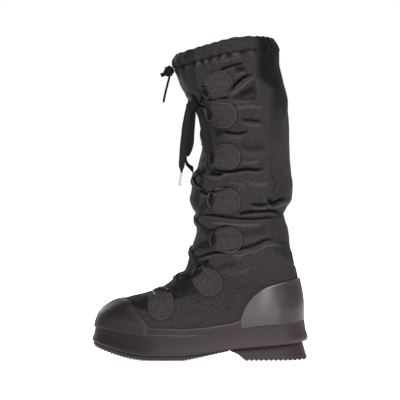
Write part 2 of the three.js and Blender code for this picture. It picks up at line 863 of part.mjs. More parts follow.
// A flat lace along points, with its width turned as near to the fore-and-aft line as its run lets
// it, narrowing over its last part where it goes into an aglet.
function flatLace(points, steps, endWidth = laceWidth) {
  const route = new THREE.CatmullRomCurve3(points);
  const narrowing = 0.88;
  const sectionsAlong = Array.from({ length: steps + 1 }, (_, i) => {
    const t = i / steps;
    const middle = route.getPointAt(t);
    const run = route.getTangentAt(t);
    const wide = vector(1, 0, 0).addScaledVector(run, -run.x).normalize();
    const thin = run.clone().cross(wide);
    const width = t > narrowing ? mix(laceWidth, endWidth, (t - narrowing) / (1 - narrowing)) : laceWidth;
    return [[-1, -1], [1, -1], [1, 1], [-1, 1]].map(([a, b]) =>
      middle
        .clone()
        .addScaledVector(wide, (a * width) / 2)
        .addScaledVector(thin, (b * laceThickness) / 2),
    );
  });
  return loft(sectionsAlong);
}

const frontLoop = [
  [-2.5, -3.4, -6.9],
  [-8, -11.5, -20],
  [-10, -13.5, -34],
  [-10.5, -12.5, -48],
  [-10.5, -9, -58.5],
  [-9, -2.5, -64],
  [-6, 3.5, -60],
  [-2, 6.5, -48],
  [-1, 6.5, -34],
  [0, 4.5, -20],
  [1, 0.5, -8.2],
];
const sideLoop = [
  [6.5, -6.2, -3.5],
  [11.5, -15.5, -14],
  [14.5, -20, -28],
  [17.5, -21.5, -43],
  [19.5, -20.5, -56],
  [20.5, -18, -61],
  [22, -14.5, -56],
  [21, -14.5, -42],
  [18.5, -15, -27],
  [13.5, -11, -14],
  [8.6, -3, -4],
];
const frontEnd = [
  [-4.2, -7.2, -2.2],
  [-6.5, -13.5, -12],
  [-9, -17.5, -28],
  [-11.5, -19, -48],
  [-13, -18.5, -68],
  [-13.8, -17.5, -86],
];
const backEnd = [
  [-3, 4.4, -7.8],
  [-4, 11, -26],
  [-6.5, 17, -46],
  [-8.5, 19.5, -64],
  [-7.5, 22, -73],
  [-2, 27, -79],
  [0.5, 36, -81],
  [0.5, 41, -83],
];
const agletRun = {
  front: vector(-2.6, 1.5, -16.5),
  back: vector(1, 13, -10.5),
};

addPiece('lace_knot', lump(knotCentre, knot.size, 10, 8), finishes.lace);
addPiece('lace_loop_front', flatLace(placed(knotCentre, frontLoop), 22), finishes.lace);
addPiece('lace_loop_side', flatLace(placed(knotCentre, sideLoop), 20), finishes.lace);
for (const [name, offsets, run] of [
  ['front', frontEnd, agletRun.front],
  ['back', backEnd, agletRun.back],
]) {
  const points = placed(knotCentre, offsets);
  const tip = points[points.length - 1];
  const heading = run.clone().normalize();
  addPiece(`lace_end_${name}`, flatLace(points, 12, aglet.diameter * 0.8), finishes.lace);
  const start = tip.clone().addScaledVector(heading, clearance + laceThickness / 2);
  const end = start.clone().addScaledVector(heading, aglet.length);
  const middle = start.clone().lerp(end, 0.5);
  addPiece(`aglet_${name}`, roundCord([start, middle, end], aglet.diameter, 8, 2), finishes.aglet);
}

// The drawcord's knot on the front of the collar, with a short stub, and its long end

const cordKnot = { height: 0.899, along: 0.004, size: vector(6.3, 6, 7) };
const cordKnotTurn = Math.acos(1 - 2 * cordKnot.along) / (2 * Math.PI);
const cordKnotLevel = levelAt(cordKnotTurn, cordKnot.height * bootHeight);
const cordKnotLift = tunnelThickness + 2 * clearance + cordKnot.size.x;
const cordKnotCentre = upperPoint(cordKnotTurn, cordKnotLevel, cordKnotLift);
const stub = [
  [0, 0, 0],
  [-5, -3, -3.5],
  [-10.5, -4, -5.5],
];
const drawcordEnd = [
  [0.5, -1, -7.6],
  [-1.5, -2.5, -16],
  [-4, -3.5, -26],
  [-6, -4, -35],
  [-7, -4.5, -41],
];
const cordKnotBody = solidOf(lump(cordKnotCentre, cordKnot.size, 10, 8)).add(
  solidOf(roundCord(placed(cordKnotCentre, stub), drawcordDiameter, 8, 4)),
);
addPiece('drawcord_knot', geometryOf(cordKnotBody), finishes.cord);
addPiece(
  'drawcord_end',
  roundCord(placed(cordKnotCentre, drawcordEnd), drawcordDiameter, 8, 6),
  finishes.cord,
);

export default boot;
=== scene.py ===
# Looks of a tall lace-up winter boot: gathered nylon shaft, rubber bottom, lace tabs and a bow.
# Sizes below are in millimetres, with the toe towards -X and the outer side of the foot towards -Y.
import math

import bmesh
import bpy
import numpy as np
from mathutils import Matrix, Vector
from mathutils.bvhtree import BVHTree


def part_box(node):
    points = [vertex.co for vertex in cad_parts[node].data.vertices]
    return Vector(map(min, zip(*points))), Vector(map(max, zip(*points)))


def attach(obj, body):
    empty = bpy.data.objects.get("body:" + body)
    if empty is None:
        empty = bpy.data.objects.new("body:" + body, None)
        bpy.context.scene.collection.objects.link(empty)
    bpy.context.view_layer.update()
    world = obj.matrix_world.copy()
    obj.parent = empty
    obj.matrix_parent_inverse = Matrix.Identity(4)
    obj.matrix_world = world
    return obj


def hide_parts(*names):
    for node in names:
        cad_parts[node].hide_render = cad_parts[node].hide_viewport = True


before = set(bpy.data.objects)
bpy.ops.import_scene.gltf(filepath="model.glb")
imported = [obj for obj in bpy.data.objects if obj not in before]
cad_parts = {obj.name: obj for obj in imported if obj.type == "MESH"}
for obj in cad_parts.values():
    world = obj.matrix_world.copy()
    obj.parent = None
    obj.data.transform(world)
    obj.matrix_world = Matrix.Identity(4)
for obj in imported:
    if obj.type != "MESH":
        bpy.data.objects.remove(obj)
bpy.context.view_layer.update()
mm = 0.001

# Camera at the photograph's place: straight at the outer side, two and a half metres off
camera = {"place": (-0.1003, -2.5, 0.2089), "pixelsOfFocus": 1893.9, "picturePixels": 400}
cameraData = bpy.data.cameras.new("photoCamera")
cameraData.sensor_width = 36
cameraData.lens = 36 * camera["pixelsOfFocus"] / camera["picturePixels"]
cameraData.clip_end = 20
photoCamera = bpy.data.objects.new("photoCamera", cameraData)
photoCamera.location = camera["place"]
photoCamera.rotation_euler = (math.pi / 2, 0, 0)
bpy.context.scene.collection.objects.link(photoCamera)
bpy.context.scene.camera = photoCamera


# Small helpers for shapes


def gridFaces(rows, columns, closed=False, start=0, turned=False):
    # Quads of a grid of points, closed round its columns if asked
    faces = []
    for r in range(rows - 1):
        for c in range(columns if closed else columns - 1):
            n = (c + 1) % columns
            a, b = start + r * columns, start + (r + 1) * columns
            quad = (a + c, a + n, b + n, b + c)
            faces.append(quad[::-1] if turned else quad)
    return faces


def joinRings(count, first, second):
    # Quads between two rings of points, by the number that each ring starts at
    return [(first + c, first + (c + 1) % count, second + (c + 1) % count, second + c) for c in range(count)]


def addPiece(name, form, material, node, sharp=None, shares=None, picks=None):
    # A piece from its points, faces and cloth places. It rides on the boot and stands for one node.
    points, faces, clothPlace = form
    mesh = bpy.data.meshes.new(name)
    mesh.from_pydata((points * mm).tolist(), [], faces)
    for each in material if isinstance(material, list) else [material]:
        mesh.materials.append(each)
    if clothPlace is not None:
        corners = np.zeros(len(mesh.loops), np.int32)
        mesh.loops.foreach_get("vertex_index", corners)
        layer = mesh.uv_layers.new(name="clothMm")
        layer.data.foreach_set("uv", clothPlace.astype(np.float32)[corners].ravel())
    for key, values in (shares or {}).items():
        attribute = mesh.attributes.new(key, "FLOAT", "POINT")
        attribute.data.foreach_set("value", values.astype(np.float32).ravel())
    if picks is None:  # pieces of one material get their faces turned outwards
        shell = bmesh.new()
        shell.from_mesh(mesh)
        bmesh.ops.recalc_face_normals(shell, faces=shell.faces)
        shell.to_mesh(mesh)
        shell.free()
    else:
        mesh.polygons.foreach_set("material_index", np.array(picks, np.int32))
    mesh.shade_smooth()
    if sharp:
        mesh.set_sharp_from_angle(angle=math.radians(sharp))
    mesh.validate()
    piece = bpy.data.objects.new(name, mesh)
    bpy.context.scene.collection.objects.link(piece)
    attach(piece, "root")
    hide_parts(node)
    return piece


def curveAt(places, values, at):
    # A smooth curve through the values that never swings past them
    places, values = np.asarray(places, float), np.asarray(values, float)
    at = np.clip(at, places[0], places[-1])
    slope = np.diff(values) / np.diff(places)
    both = slope[1:] * slope[:-1]
    total = slope[1:] + slope[:-1]
    inner = np.where(both > 0, 2 * both / np.where(both > 0, total, 1), 0)
    tangent = np.concatenate([[slope[0]], inner, [slope[-1]]])
    i = np.clip(np.searchsorted(places, at, side="right") - 1, 0, len(places) - 2)
    step = places[i + 1] - places[i]
    t = (at - places[i]) / step
    rise = t * t * (3 - 2 * t)
    bend = tangent[i] * t * (1 - t) ** 2 - tangent[i + 1] * t * t * (1 - t)
    return values[i] * (1 - rise) + values[i + 1] * rise + step * bend


def mix(a, b, share):
    return a + (b - a) * share


def soft(value, low, high):
    t = np.clip((np.asarray(value, float) - low) / (high - low), 0, 1)
    return t * t * (3 - 2 * t)


def bell(value, width):
    return np.exp(-((value / width) ** 2))


def unit(vectors):
    vectors = np.asarray(vectors, float)
    return vectors / np.maximum(np.linalg.norm(vectors, axis=-1, keepdims=True), 1e-9)


def runLengths(line):
    # Length from a line's start to each of its points
    return np.concatenate([[0], np.cumsum(np.linalg.norm(np.diff(line, axis=0), axis=1))])


def sampled(line, count, endpoint=True):
    # Points at even steps along a line
    length = runLengths(line)
    at = np.linspace(0, length[-1], count, endpoint=endpoint)
    return np.stack([np.interp(at, length, column) for column in line.T], 1)


def curveThrough(points):
    # Centripetal spline through the points, in fine steps
    p = np.asarray(points, float)
    p = np.vstack([2 * p[0] - p[1], p, 2 * p[-1] - p[-2]])
    out = []
    for i in range(1, len(p) - 2):
        knots = [0.0]
        for j in range(3):
            knots.append(knots[-1] + max(1e-6, np.linalg.norm(p[i + j] - p[i + j - 1]) ** 0.5))
        t = np.linspace(knots[1], knots[2], 24, endpoint=False)[:, None]

        def between(a, b, low, high):
            return (high - t) / (high - low) * a + (t - low) / (high - low) * b

        one, two, three = (between(p[i + j - 1], p[i + j], knots[j], knots[j + 1]) for j in range(3))
        first, second = between(one, two, knots[0], knots[2]), between(two, three, knots[1], knots[3])
        out.append(between(first, second, knots[1], knots[2]))
    return np.vstack([*out, p[-2:-1]])


def smoothRoute(points, count):
    return sampled(curveThrough(points), count)


def waves(points, size, seed=0):
    # Soft unevenness between -1 and 1 with bumps about size wide
    p = points / size
    value = np.zeros(len(p))
    for i in range(6):
        a = 2.399 * i + seed
        run = np.array([math.cos(a), math.sin(a * 1.7 + seed), math.sin(5.1 * i + seed)])
        value += np.sin(p @ run * (2.2 + 0.6 * i) + 3.7 * i + 2.1 * np.sin(p @ run[::-1] * 1.3 + i))
    return value / 3.2


# Materials


def linear(hexCode):
    # sRGB hex to the linear colour that the shader wants
    parts = [int(hexCode[i : i + 2], 16) / 255 for i in (0, 2, 4)]
    return (*[v / 12.92 if v <= 0.04045 else ((v + 0.055) / 1.055) ** 2.4 for v in parts], 1)


def feed(node, inputs):
    # An input is a value, or the socket or node that gives it; a node gives its Fac or its first output
    for key, value in inputs.items():
        if isinstance(value, bpy.types.Node):
            given = [output for output in value.outputs if output.enabled]
            value = next((output for output in given if output.name == "Fac"), given[0])
        if isinstance(value, bpy.types.NodeSocket):
            node.id_data.links.new(value, node.inputs[key])
        else:
            node.inputs[key].default_value = value


def addNode(tree, kind, inputs=None, **settings):
    node = tree.nodes.new("ShaderNode" + kind)
    for key, value in settings.items():
        setattr(node, key, value)
    feed(node, inputs or {})
    return node


def startMaterial(name):
    material = bpy.data.materials.new(name)
    material.use_nodes = True
    return material, material.node_tree


def finishMaterial(material, colour, roughness, height=None, strength=0, depthMm=0, more=None):
    # Feeds the shader with the colour, the roughness, a relief and what more the real one needs
    inputs = {"Base Color": colour, "Roughness": roughness, **(more or {})}
    if height:
        relief = {"Height": height, "Strength": strength, "Distance": depthMm * mm}
        inputs["Normal"] = addNode(material.node_tree, "Bump", relief)
    feed(material.node_tree.nodes["Principled BSDF"], inputs)
    return material


def unevenColour(tree, dark, light, size, place=None, detail=4):
    # Two close tones of one finish, mixed by noise whose patches are about size millimetres
    inputs = {"Scale": 1000 / size, "Detail": detail, "Roughness": 0.6}
    if place:
        inputs["Vector"] = place
    spots = addNode(tree, "TexNoise", inputs)
    span = addNode(tree, "MapRange", {"Value": spots, "From Min": 0.35, "From Max": 0.65})
    return addNode(tree, "Mix", {"Factor": span, "A": linear(dark), "B": linear(light)}, data_type="RGBA")


def tonedByShares(tree, colour, tones):
    # Each share on the mesh lays its own tone over the colour before it
    for key, tone in tones.items():
        tone = linear(tone) if isinstance(tone, str) else tone
        share = addNode(tree, "Attribute", attribute_name=key)
        colour = addNode(tree, "Mix", {"Factor": share, "A": colour, "B": tone}, data_type="RGBA")
    return colour


def weaveHeight(tree, place, pitchAcross, pitchAlong):
    # Over-and-under threads from two waves across each other; the places are in metres
    threads = []
    for way, pitch in (("X", pitchAcross), ("Y", pitchAlong)):
        inputs = {"Vector": place, "Scale": 100 * math.pi / pitch, "Distortion": 0.6, "Detail": 1}
        threads.append(addNode(tree, "TexWave", inputs, bands_direction=way))
    return addNode(tree, "Math", {0: threads[0], 1: threads[1]}, operation="MULTIPLY")


# Woven nylon: flat filament cloth, calendered, with coarse thread nubs that catch the light.
# The threads are about 0.5 mm, finer than a picture point, so the weave is drawn 1.5 mm coarse.
nylonFinish = {
    "dark": "171516",
    "light": "343033",
    "grainMm": 1.25,
    "threadMm": 1.5,
    "roughness": 0.75,
    "smoothRoughness": 0.66,
    "tones": {  # attribute on the mesh, and the tone that it brings
        "frontPanel": "191617",
        "frontShade": "0f0b0d",
        # the back panel's own tone, with a painted shade growing towards its top
        "backPanelAndShade": "060505",
        # a paler brownish band across the back panel: painted sheen
        "backPaintedSheen": "292425",
        "plainPatch": "241e21",
        "ridgeHighlight": "5c5459",
        # painted highlight on ridges and lips
        "creaseShade": "050405",
    # painted shade in creases
    },
}


def wovenNylon():
    material, tree = startMaterial("wovenNylonCalendered")
    finish = nylonFinish
    place = addNode(tree, "UVMap", uv_map="clothMm")
    solidPlace = addNode(tree, "TexCoord").outputs["Object"]
    colour = unevenColour(tree, finish["dark"], finish["light"], finish["grainMm"], solidPlace, 2)
    colour = tonedByShares(tree, colour, finish["tones"])
    weave = weaveHeight(tree, place, finish["threadMm"], finish["threadMm"])
    nubs = addNode(tree, "TexNoise", {"Vector": solidPlace, "Scale": 700, "Detail": 2})
    height = addNode(tree, "Math", {0: weave, 1: nubs}, operation="ADD")
    smooth = addNode(tree, "Attribute", attribute_name="smoothCloth")
    strength = addNode(tree, "MapRange", {"Value": smooth, "To Min": 0.6, "To Max": 0.1})
    span = {"To Min": finish["roughness"], "To Max": finish["smoothRoughness"]}
    gloss = addNode(tree, "MapRange", {"Value": smooth, **span})
    return finishMaterial(material, colour, gloss, height, strength, 0.6, {"Specular IOR Level": 0.13})


# Brushed polyester fleece, knitted and raised: matt with a soft nap. Pressed wool felt: matted fibres,
# dull and a little mottled.
def mattedFibres(name, dark, light, patchMm, fibres, strength, depthMm, more=None):
    material, tree = startMaterial(name)
    tone, nap = unevenColour(tree, dark, light, patchMm), addNode(tree, "TexNoise", fibres)
    return finishMaterial(material, tone, 0.95, nap, strength, depthMm, more)


# Moulded rubber: compression moulded and matt, slightly bloomed, with a skin that lights softly.
# Its edges are drawn pale, as wear and as a painted highlight, and a painted shade darkens it towards the
# toe.
toeShadeTone = "120a0f"


def mouldedRubber(name, dark, light, roughness, grainMm, edgeTone, gloss):
    material, tree = startMaterial(name)
    # edge: pale edges, as wear and as a painted highlight; toeShade: painted shade
    colour = tonedByShares(tree, unevenColour(tree, dark, light, 9), {"edge": edgeTone, "toeShade": toeShadeTone})
    grain = addNode(tree, "TexNoise", {"Scale": 1000 / grainMm, "Detail": 3})
    patch = addNode(tree, "TexNoise", {"Scale": 60, "Detail": 3})
    dull = addNode(tree, "MapRange", {"Value": patch, "To Min": roughness - 0.06, "To Max": roughness + 0.08})
    more = {"IOR": 1.52, "Specular IOR Level": gloss}
    return finishMaterial(material, colour, dull, grain, 0.25, 0.3, more)


# Polyester webbing: narrow woven and pressed, matt, with rings of close stitching round its middle and a
# painted highlight along its folded border.
# A stitch is about 0.4 mm thick, too fine to show, so the rings are drawn 2.9 mm apart.
webbingFinish = {
    "dark": "1a1618",
    "light": "2d272a",
    "gap": "191618",
    "thread": "464044",
    # pale tone of the folded border: painted highlight
    "border": "433c40",
    "ringMm": 2.9,
}


def stitchedWebbing():
    material, tree = startMaterial("webbingStitched")
    finish = webbingFinish
    place = addNode(tree, "UVMap", uv_map="clothMm")
    waveInputs = {"Vector": place, "Scale": 100 * math.pi / finish["ringMm"], "Distortion": 3.2, "Detail": 3}
    rings = addNode(tree, "TexWave", waveInputs, wave_type="RINGS", rings_direction="SPHERICAL")
    stitches = addNode(tree, "TexNoise", {"Vector": place, "Scale": 620, "Detail": 1})
    broken = addNode(tree, "MapRange", {"Value": stitches, "From Min": 0.45, "From Max": 0.62})
    blend = addNode(tree, "Math", {0: rings, 1: broken}, operation="MULTIPLY")
    raised = addNode(tree, "MapRange", {"Value": blend, "From Min": 0.05, "From Max": 0.7})
    tones = {"A": linear(finish["gap"]), "B": linear(finish["thread"])}
    thread = addNode(tree, "Mix", {"Factor": raised, **tones}, data_type="RGBA")
    colour = unevenColour(tree, finish["dark"], finish["light"], 1.4, None, 2)
    colour = tonedByShares(tree, colour, {"stitch": thread, "border": finish["border"]})
    return finishMaterial(material, colour, 0.75, raised, 0.6, 0.6, {"Specular IOR Level": 0.25})


# Braided polyester: sixteen strands over a core; the loops are waxed and shine, the drawcord is matt.
# Flat lace: woven tube of filament polyester, pressed flat, with a herringbone that shines a little.
def wovenStrands(name, pitches, dark, light, roughness, gloss, strength, spotted=False):
    material, tree = startMaterial(name)
    strands = weaveHeight(tree, addNode(tree, "UVMap", uv_map="clothMm"), *pitches)
    blend = strands
    if spotted:
        spots = addNode(tree, "TexNoise", {"Scale": 400, "Detail": 3})
        blend = addNode(tree, "Math", {0: strands, 1: spots}, operation="MULTIPLY")
    tone = addNode(tree, "Mix", {"Factor": blend, "A": linear(dark), "B": linear(light)}, data_type="RGBA")
    return finishMaterial(material, tone, roughness, strands, strength, 0.4, {"Specular IOR Level": gloss})


# Cellulose acetate aglet: film wound and pressed, so it is clear, milky and glossy.
def pressedAcetate():
    material, tree = startMaterial("acetatePressed")
    tone = unevenColour(tree, "8b8e92", "bcbfc2", 4)
    return finishMaterial(material, tone, 0.25, more={"IOR": 1.48, "Transmission Weight": 0.12})


sheen = {"Sheen Weight": 0.5, "Specular IOR Level": 0.2}
nylon = wovenNylon()
lining = mattedFibres("fleeceBrushed", "1c1a1c", "2b282b", 5, {"Scale": 700, "Detail": 5}, 0.6, 0.8, sheen)
felt = mattedFibres("woolFeltPressed", "5d5853", "77716b", 3, {"Scale": 900, "Detail": 6}, 0.5, 0.5)
capRubber = mouldedRubber("toeCapRubberMoulded", "1d1519", "251c20", 0.42, 0.9, "342b30", 0.34)
counterRubber = mouldedRubber("counterRubberMoulded", "251c22", "2c2329", 0.32, 0.9, "81777d", 0.55)
wallRubber = mouldedRubber("sidewallRubberMoulded", "271e24", "2f262c", 0.5, 0.8, "51474d", 0.22)
treadRubber = mouldedRubber("outsoleRubberMoulded", "241c21", "2c2429", 0.58, 0.7, "453b40", 0.22)
webbing = stitchedWebbing()
loopCord = wovenStrands("loopCordWaxed", (1.2, 1.6), "0a090a", "1f1c1e", 0.3, 0.4, 0.4)
drawCord = wovenStrands("drawcordBraided", (1.2, 1.6), "050405", "171416", 0.75, 0.12, 0.4)
lace = wovenStrands("flatLaceWoven", (1.3, 1.7), "0b080a", "272024", 0.62, 0.14, 0.5, spotted=True)
acetate = pressedAcetate()
print("materials made")


# The boot's own sizes, the same as the frame's

body = {
    "soleLength": 285,
    "ballWidth": 107,
    "heelSetback": 42,
    "ankleHeight": 131,
    "bootHeight": 424,
    "shaftDepth": 116,
    "shaftWidth": 104,
    "toeInswing": 7,
    "wall": 3,
    "clearance": 0.3,
}
sole = {
    "toeSpring": 17,
    "plate": 6,
    "heelLift": 20,
    "archRise": 12.5,
    "bed": 6.5,
    "sidewall": 29,
}
shaftHeight = body["bootHeight"] - body["ankleHeight"]

# Foot sections: front and back as shares of the sole's length from the toe with heights as shares of
# the ankle's, width as a share of the ball's, and how foot-shaped rather than oval the plan is.
footSections = [
    (0.046, 0.168, 0.968, 0.229, 0.86, 1),
    (0.023, 0.351, 0.975, 0.412, 0.869, 1),
    (0.033, 0.44, 0.975, 0.496, 0.86, 1),
    (0.06, 0.511, 0.974, 0.573, 0.841, 0.95),
    (0.103, 0.57, 0.97, 0.641, 0.822, 0.9),
    (0.163, 0.618, 0.966, 0.699, 0.794, 0.8),
    (0.235, 0.656, 0.96, 0.752, 0.776, 0.7),
    (0.298, 0.693, 0.956, 0.802, 0.766, 0.6),
    (0.342, 0.748, 0.951, 0.855, 0.766, 0.5),
    (0.385, 0.817, 0.945, 0.916, 0.776, 0.4),
    (0.427, 0.893, 0.938, 0.977, 0.794, 0.25),
    (0.448, 1, 0.93, 1.057, 0.804, 0.1),
]
# Shaft sections: front and back as shares of its depth with heights as shares of its height above the
# ankle, width as a share of its own, and the crown of the section's middle.
shaftSections = [
    (-0.957, 0.044, 0.159, 0.065, 0.837, 0),
    (-0.902, 0.137, 0.134, 0.143, 0.846, 0),
    (-0.907, 0.177, 0.111, 0.177, 0.846, 0),
    (-0.914, 0.205, 0.082, 0.203, 0.827, 0),
    (-0.953, 0.232, 0.116, 0.232, 0.865, 0),
    (-0.975, 0.27, 0.178, 0.27, 0.913, 0),
    (-0.957, 0.324, 0.191, 0.324, 0.942, 0),
    (-0.879, 0.44, 0.161, 0.44, 0.962, 0),
    (-0.842, 0.502, 0.154, 0.505, 0.981, 0),
    (-0.862, 0.628, 0.14, 0.645, 1.01, 0),
    (-0.934, 0.679, 0.127, 0.706, 1.019, 0),
    (-1.028, 0.734, 0.1, 0.765, 1.01, 0),
    (-1.102, 0.795, 0.062, 0.826, 0.99, 0),
    (-1.158, 0.857, 0.036, 0.887, 0.962, 0.004),
    (-1.177, 0.891, 0.036, 0.932, 0.942, 0.012),
    (-1.147, 0.918, -0.02, 0.988, 0.885, 0.022),
]
planAlong = [0, 0.15, 0.32, 0.5, 0.65, 0.8, 0.9, 1]
planLateral = [0.42, 0.47, 0.52, 0.47, 0.41, 0.375, 0.37, 0.36]
planMedial = [0.46, 0.48, 0.48, 0.41, 0.34, 0.36, 0.37, 0.36]
liftAlong = [0.425, 0.533, 0.635, 0.747, 0.853, 1]
liftShare = [0, 0.25, 0.607, 0.786, 0.964, 1.34]
wallAlong = [0, 0.095, 0.158, 0.277, 0.463, 0.639, 0.684, 0.8, 1]
wallShare = [0.79, 0.95, 0.98, 0.993, 0.93, 0.88, 0.99, 1.03, 1.02]
archStart, archEnd, springStart = 0.4246, 0.635, 0.2632


def xAt(along):
    return body["heelSetback"] - body["soleLength"] * (1 - along)


def alongAt(x):
    return 1 - (body["heelSetback"] - x) / body["soleLength"]


def springAt(along):
    return sole["toeSpring"] * np.maximum(0, 1 - np.asarray(along, float) / springStart) ** 1.7


def treadAt(along):
    arch = np.clip((along - archStart) / (archEnd - archStart), 0, 1) ** 1.05
    return springAt(along) + sole["archRise"] * arch


def undersideAt(along):
    lift = (sole["heelLift"] - sole["plate"]) * curveAt(liftAlong, liftShare, along)
    return sole["plate"] + springAt(along) + lift


def bedAt(along):
    return undersideAt(along) + sole["bed"] * (1 + 0.45 * curveAt(liftAlong, liftShare, along))


def ledgeAt(along):
    return undersideAt(along) + sole["sidewall"] * curveAt(wallAlong, wallShare, along)


def endRound(along, toeShare, heelShare):
    past = np.where(along < toeShare, 1 - along / toeShare, 0)
    past = np.where(along > 1 - heelShare, 1 - (1 - along) / heelShare, past)
    return np.sqrt(np.maximum(0, 1 - past * past))


def sideShareAt(along, side):
    return np.where(side < 0, curveAt(planAlong, planLateral, along), curveAt(planAlong, planMedial, along))


def inswingAt(along):
    return body["toeInswing"] * np.maximum(0, 1 - along) ** 2


ankle, ball, depth, girth = (body[key] for key in ("ankleHeight", "ballWidth", "shaftDepth", "shaftWidth"))
sectionRows = [
    (xAt(front), frontUp * ankle, xAt(back), backUp * ankle, width * ball, foot, 0)
    for front, frontUp, back, backUp, width, foot in footSections
]
for front, frontUp, back, backUp, width, crown in shaftSections:
    frontUp, backUp = ankle + frontUp * shaftHeight, ankle + backUp * shaftHeight
    sectionRows.append((front * depth, frontUp, back * depth, backUp, width * girth, 0, crown * shaftHeight))
sectionColumns = np.array(sectionRows, float).T
lastLevel = len(sectionRows) - 1
levelNumbers = np.arange(lastLevel + 1)


def skinAt(theta, level):
    # The upper's outer surface without folds; theta 0 is the front and the lateral side comes first.
    theta, level = np.broadcast_arrays(np.asarray(theta, float), np.asarray(level, float))
    fx, fz, bx, bz, width, foot, crown = (curveAt(levelNumbers, c, level) for c in sectionColumns)
    along = (1 - np.cos(theta)) / 2
    side = np.where(np.sin(theta) >= 0, -1.0, 1.0)
    x = mix(fx, bx, along)
    z = mix(fz, bz, along) + crown * np.sin(math.pi * along**1.5)
    footAlong = alongAt(x)
    half = width * mix(0.5, sideShareAt(footAlong, side), foot)
    rounding = endRound(along, mix(0.5, 0.3, foot), mix(0.5, 0.14, foot))
    y = side * half * rounding + inswingAt(footAlong) * foot
    low = bedAt(footAlong) + body["clearance"]
    z = np.where(level < 1, mix(low, np.maximum(z, low), np.clip(level, 0, 1)), z)
    return np.stack([x, y, z], -1)


def skinNormal(theta, level):
    step = 0.01
    high = np.minimum(np.asarray(level, float) + step, lastLevel)
    low = np.maximum(np.asarray(level, float) - step, 0)
    by = skinAt(np.asarray(theta) + step, level) - skinAt(np.asarray(theta) - step, level)
    up = skinAt(theta, high) - skinAt(theta, low)
    return unit(np.cross(by, up))


def levelWhere(theta, above):
    # The level at which above(points) turns positive, for each theta.
    theta = np.asarray(theta, float)
    low, high = np.zeros_like(theta), np.full_like(theta, float(lastLevel))
    for _ in range(30):
        middle = (low + high) / 2
        over = above(skinAt(theta, middle)) > 0
        low, high = np.where(over, low, middle), np.where(over, middle, high)
    return (low + high) / 2


# Lace tabs: stitched webbing patches with a cord loop each

tab = {
    "length": 35,
    "width": 33.5,
    "frontHalf": 13.4,
    "slant": 7,
    "thickness": 1.9,
    "around": 72,
    "sewnRadius": 14.5,
}
loop = {"cord": 2.2, "width": 20, "reach": 7.5}
tabRows = [  # height as a share of the boot's, place along the section, lean of the long axis
    (0.846, 0.362, 23),
    (0.752, 0.264, -2),
    (0.624, 0.296, 0),
    (0.489, 0.358, -3),
    (0.37, 0.36, -3),
    (0.238, 0.338, -47),
    (0.168, 0.28, -85),
]


def tabFrame(height, along, lean, sign):
    # Middle of a tab on the skin, with its directions out, towards its tail and across
    theta = np.array([sign * math.acos(1 - 2 * along)])
    level = levelWhere(theta, lambda p: p[:, 2] - height * body["bootHeight"])
    out = skinNormal(theta, level)[0]
    tail = np.array([math.cos(math.radians(lean)), 0, math.sin(math.radians(lean))])
    tail = unit(tail - out * (tail @ out))
    return skinAt(theta, level)[0], out, tail, np.cross(out, tail)


# Upper: folded nylon outside, brushed lining inside, one skin over the collar's edge

upper = {
    "columns": 256,
    "outerRows": 320,
    "innerRows": 36,
    "rimRound": 3,
    "foldDepth": 1.1,
    "ridgeHeight": 0.45,
    "foldWidth": 0.62,
    "liningGap": 5.5,  # hollow between the folded cloth and the lining
}
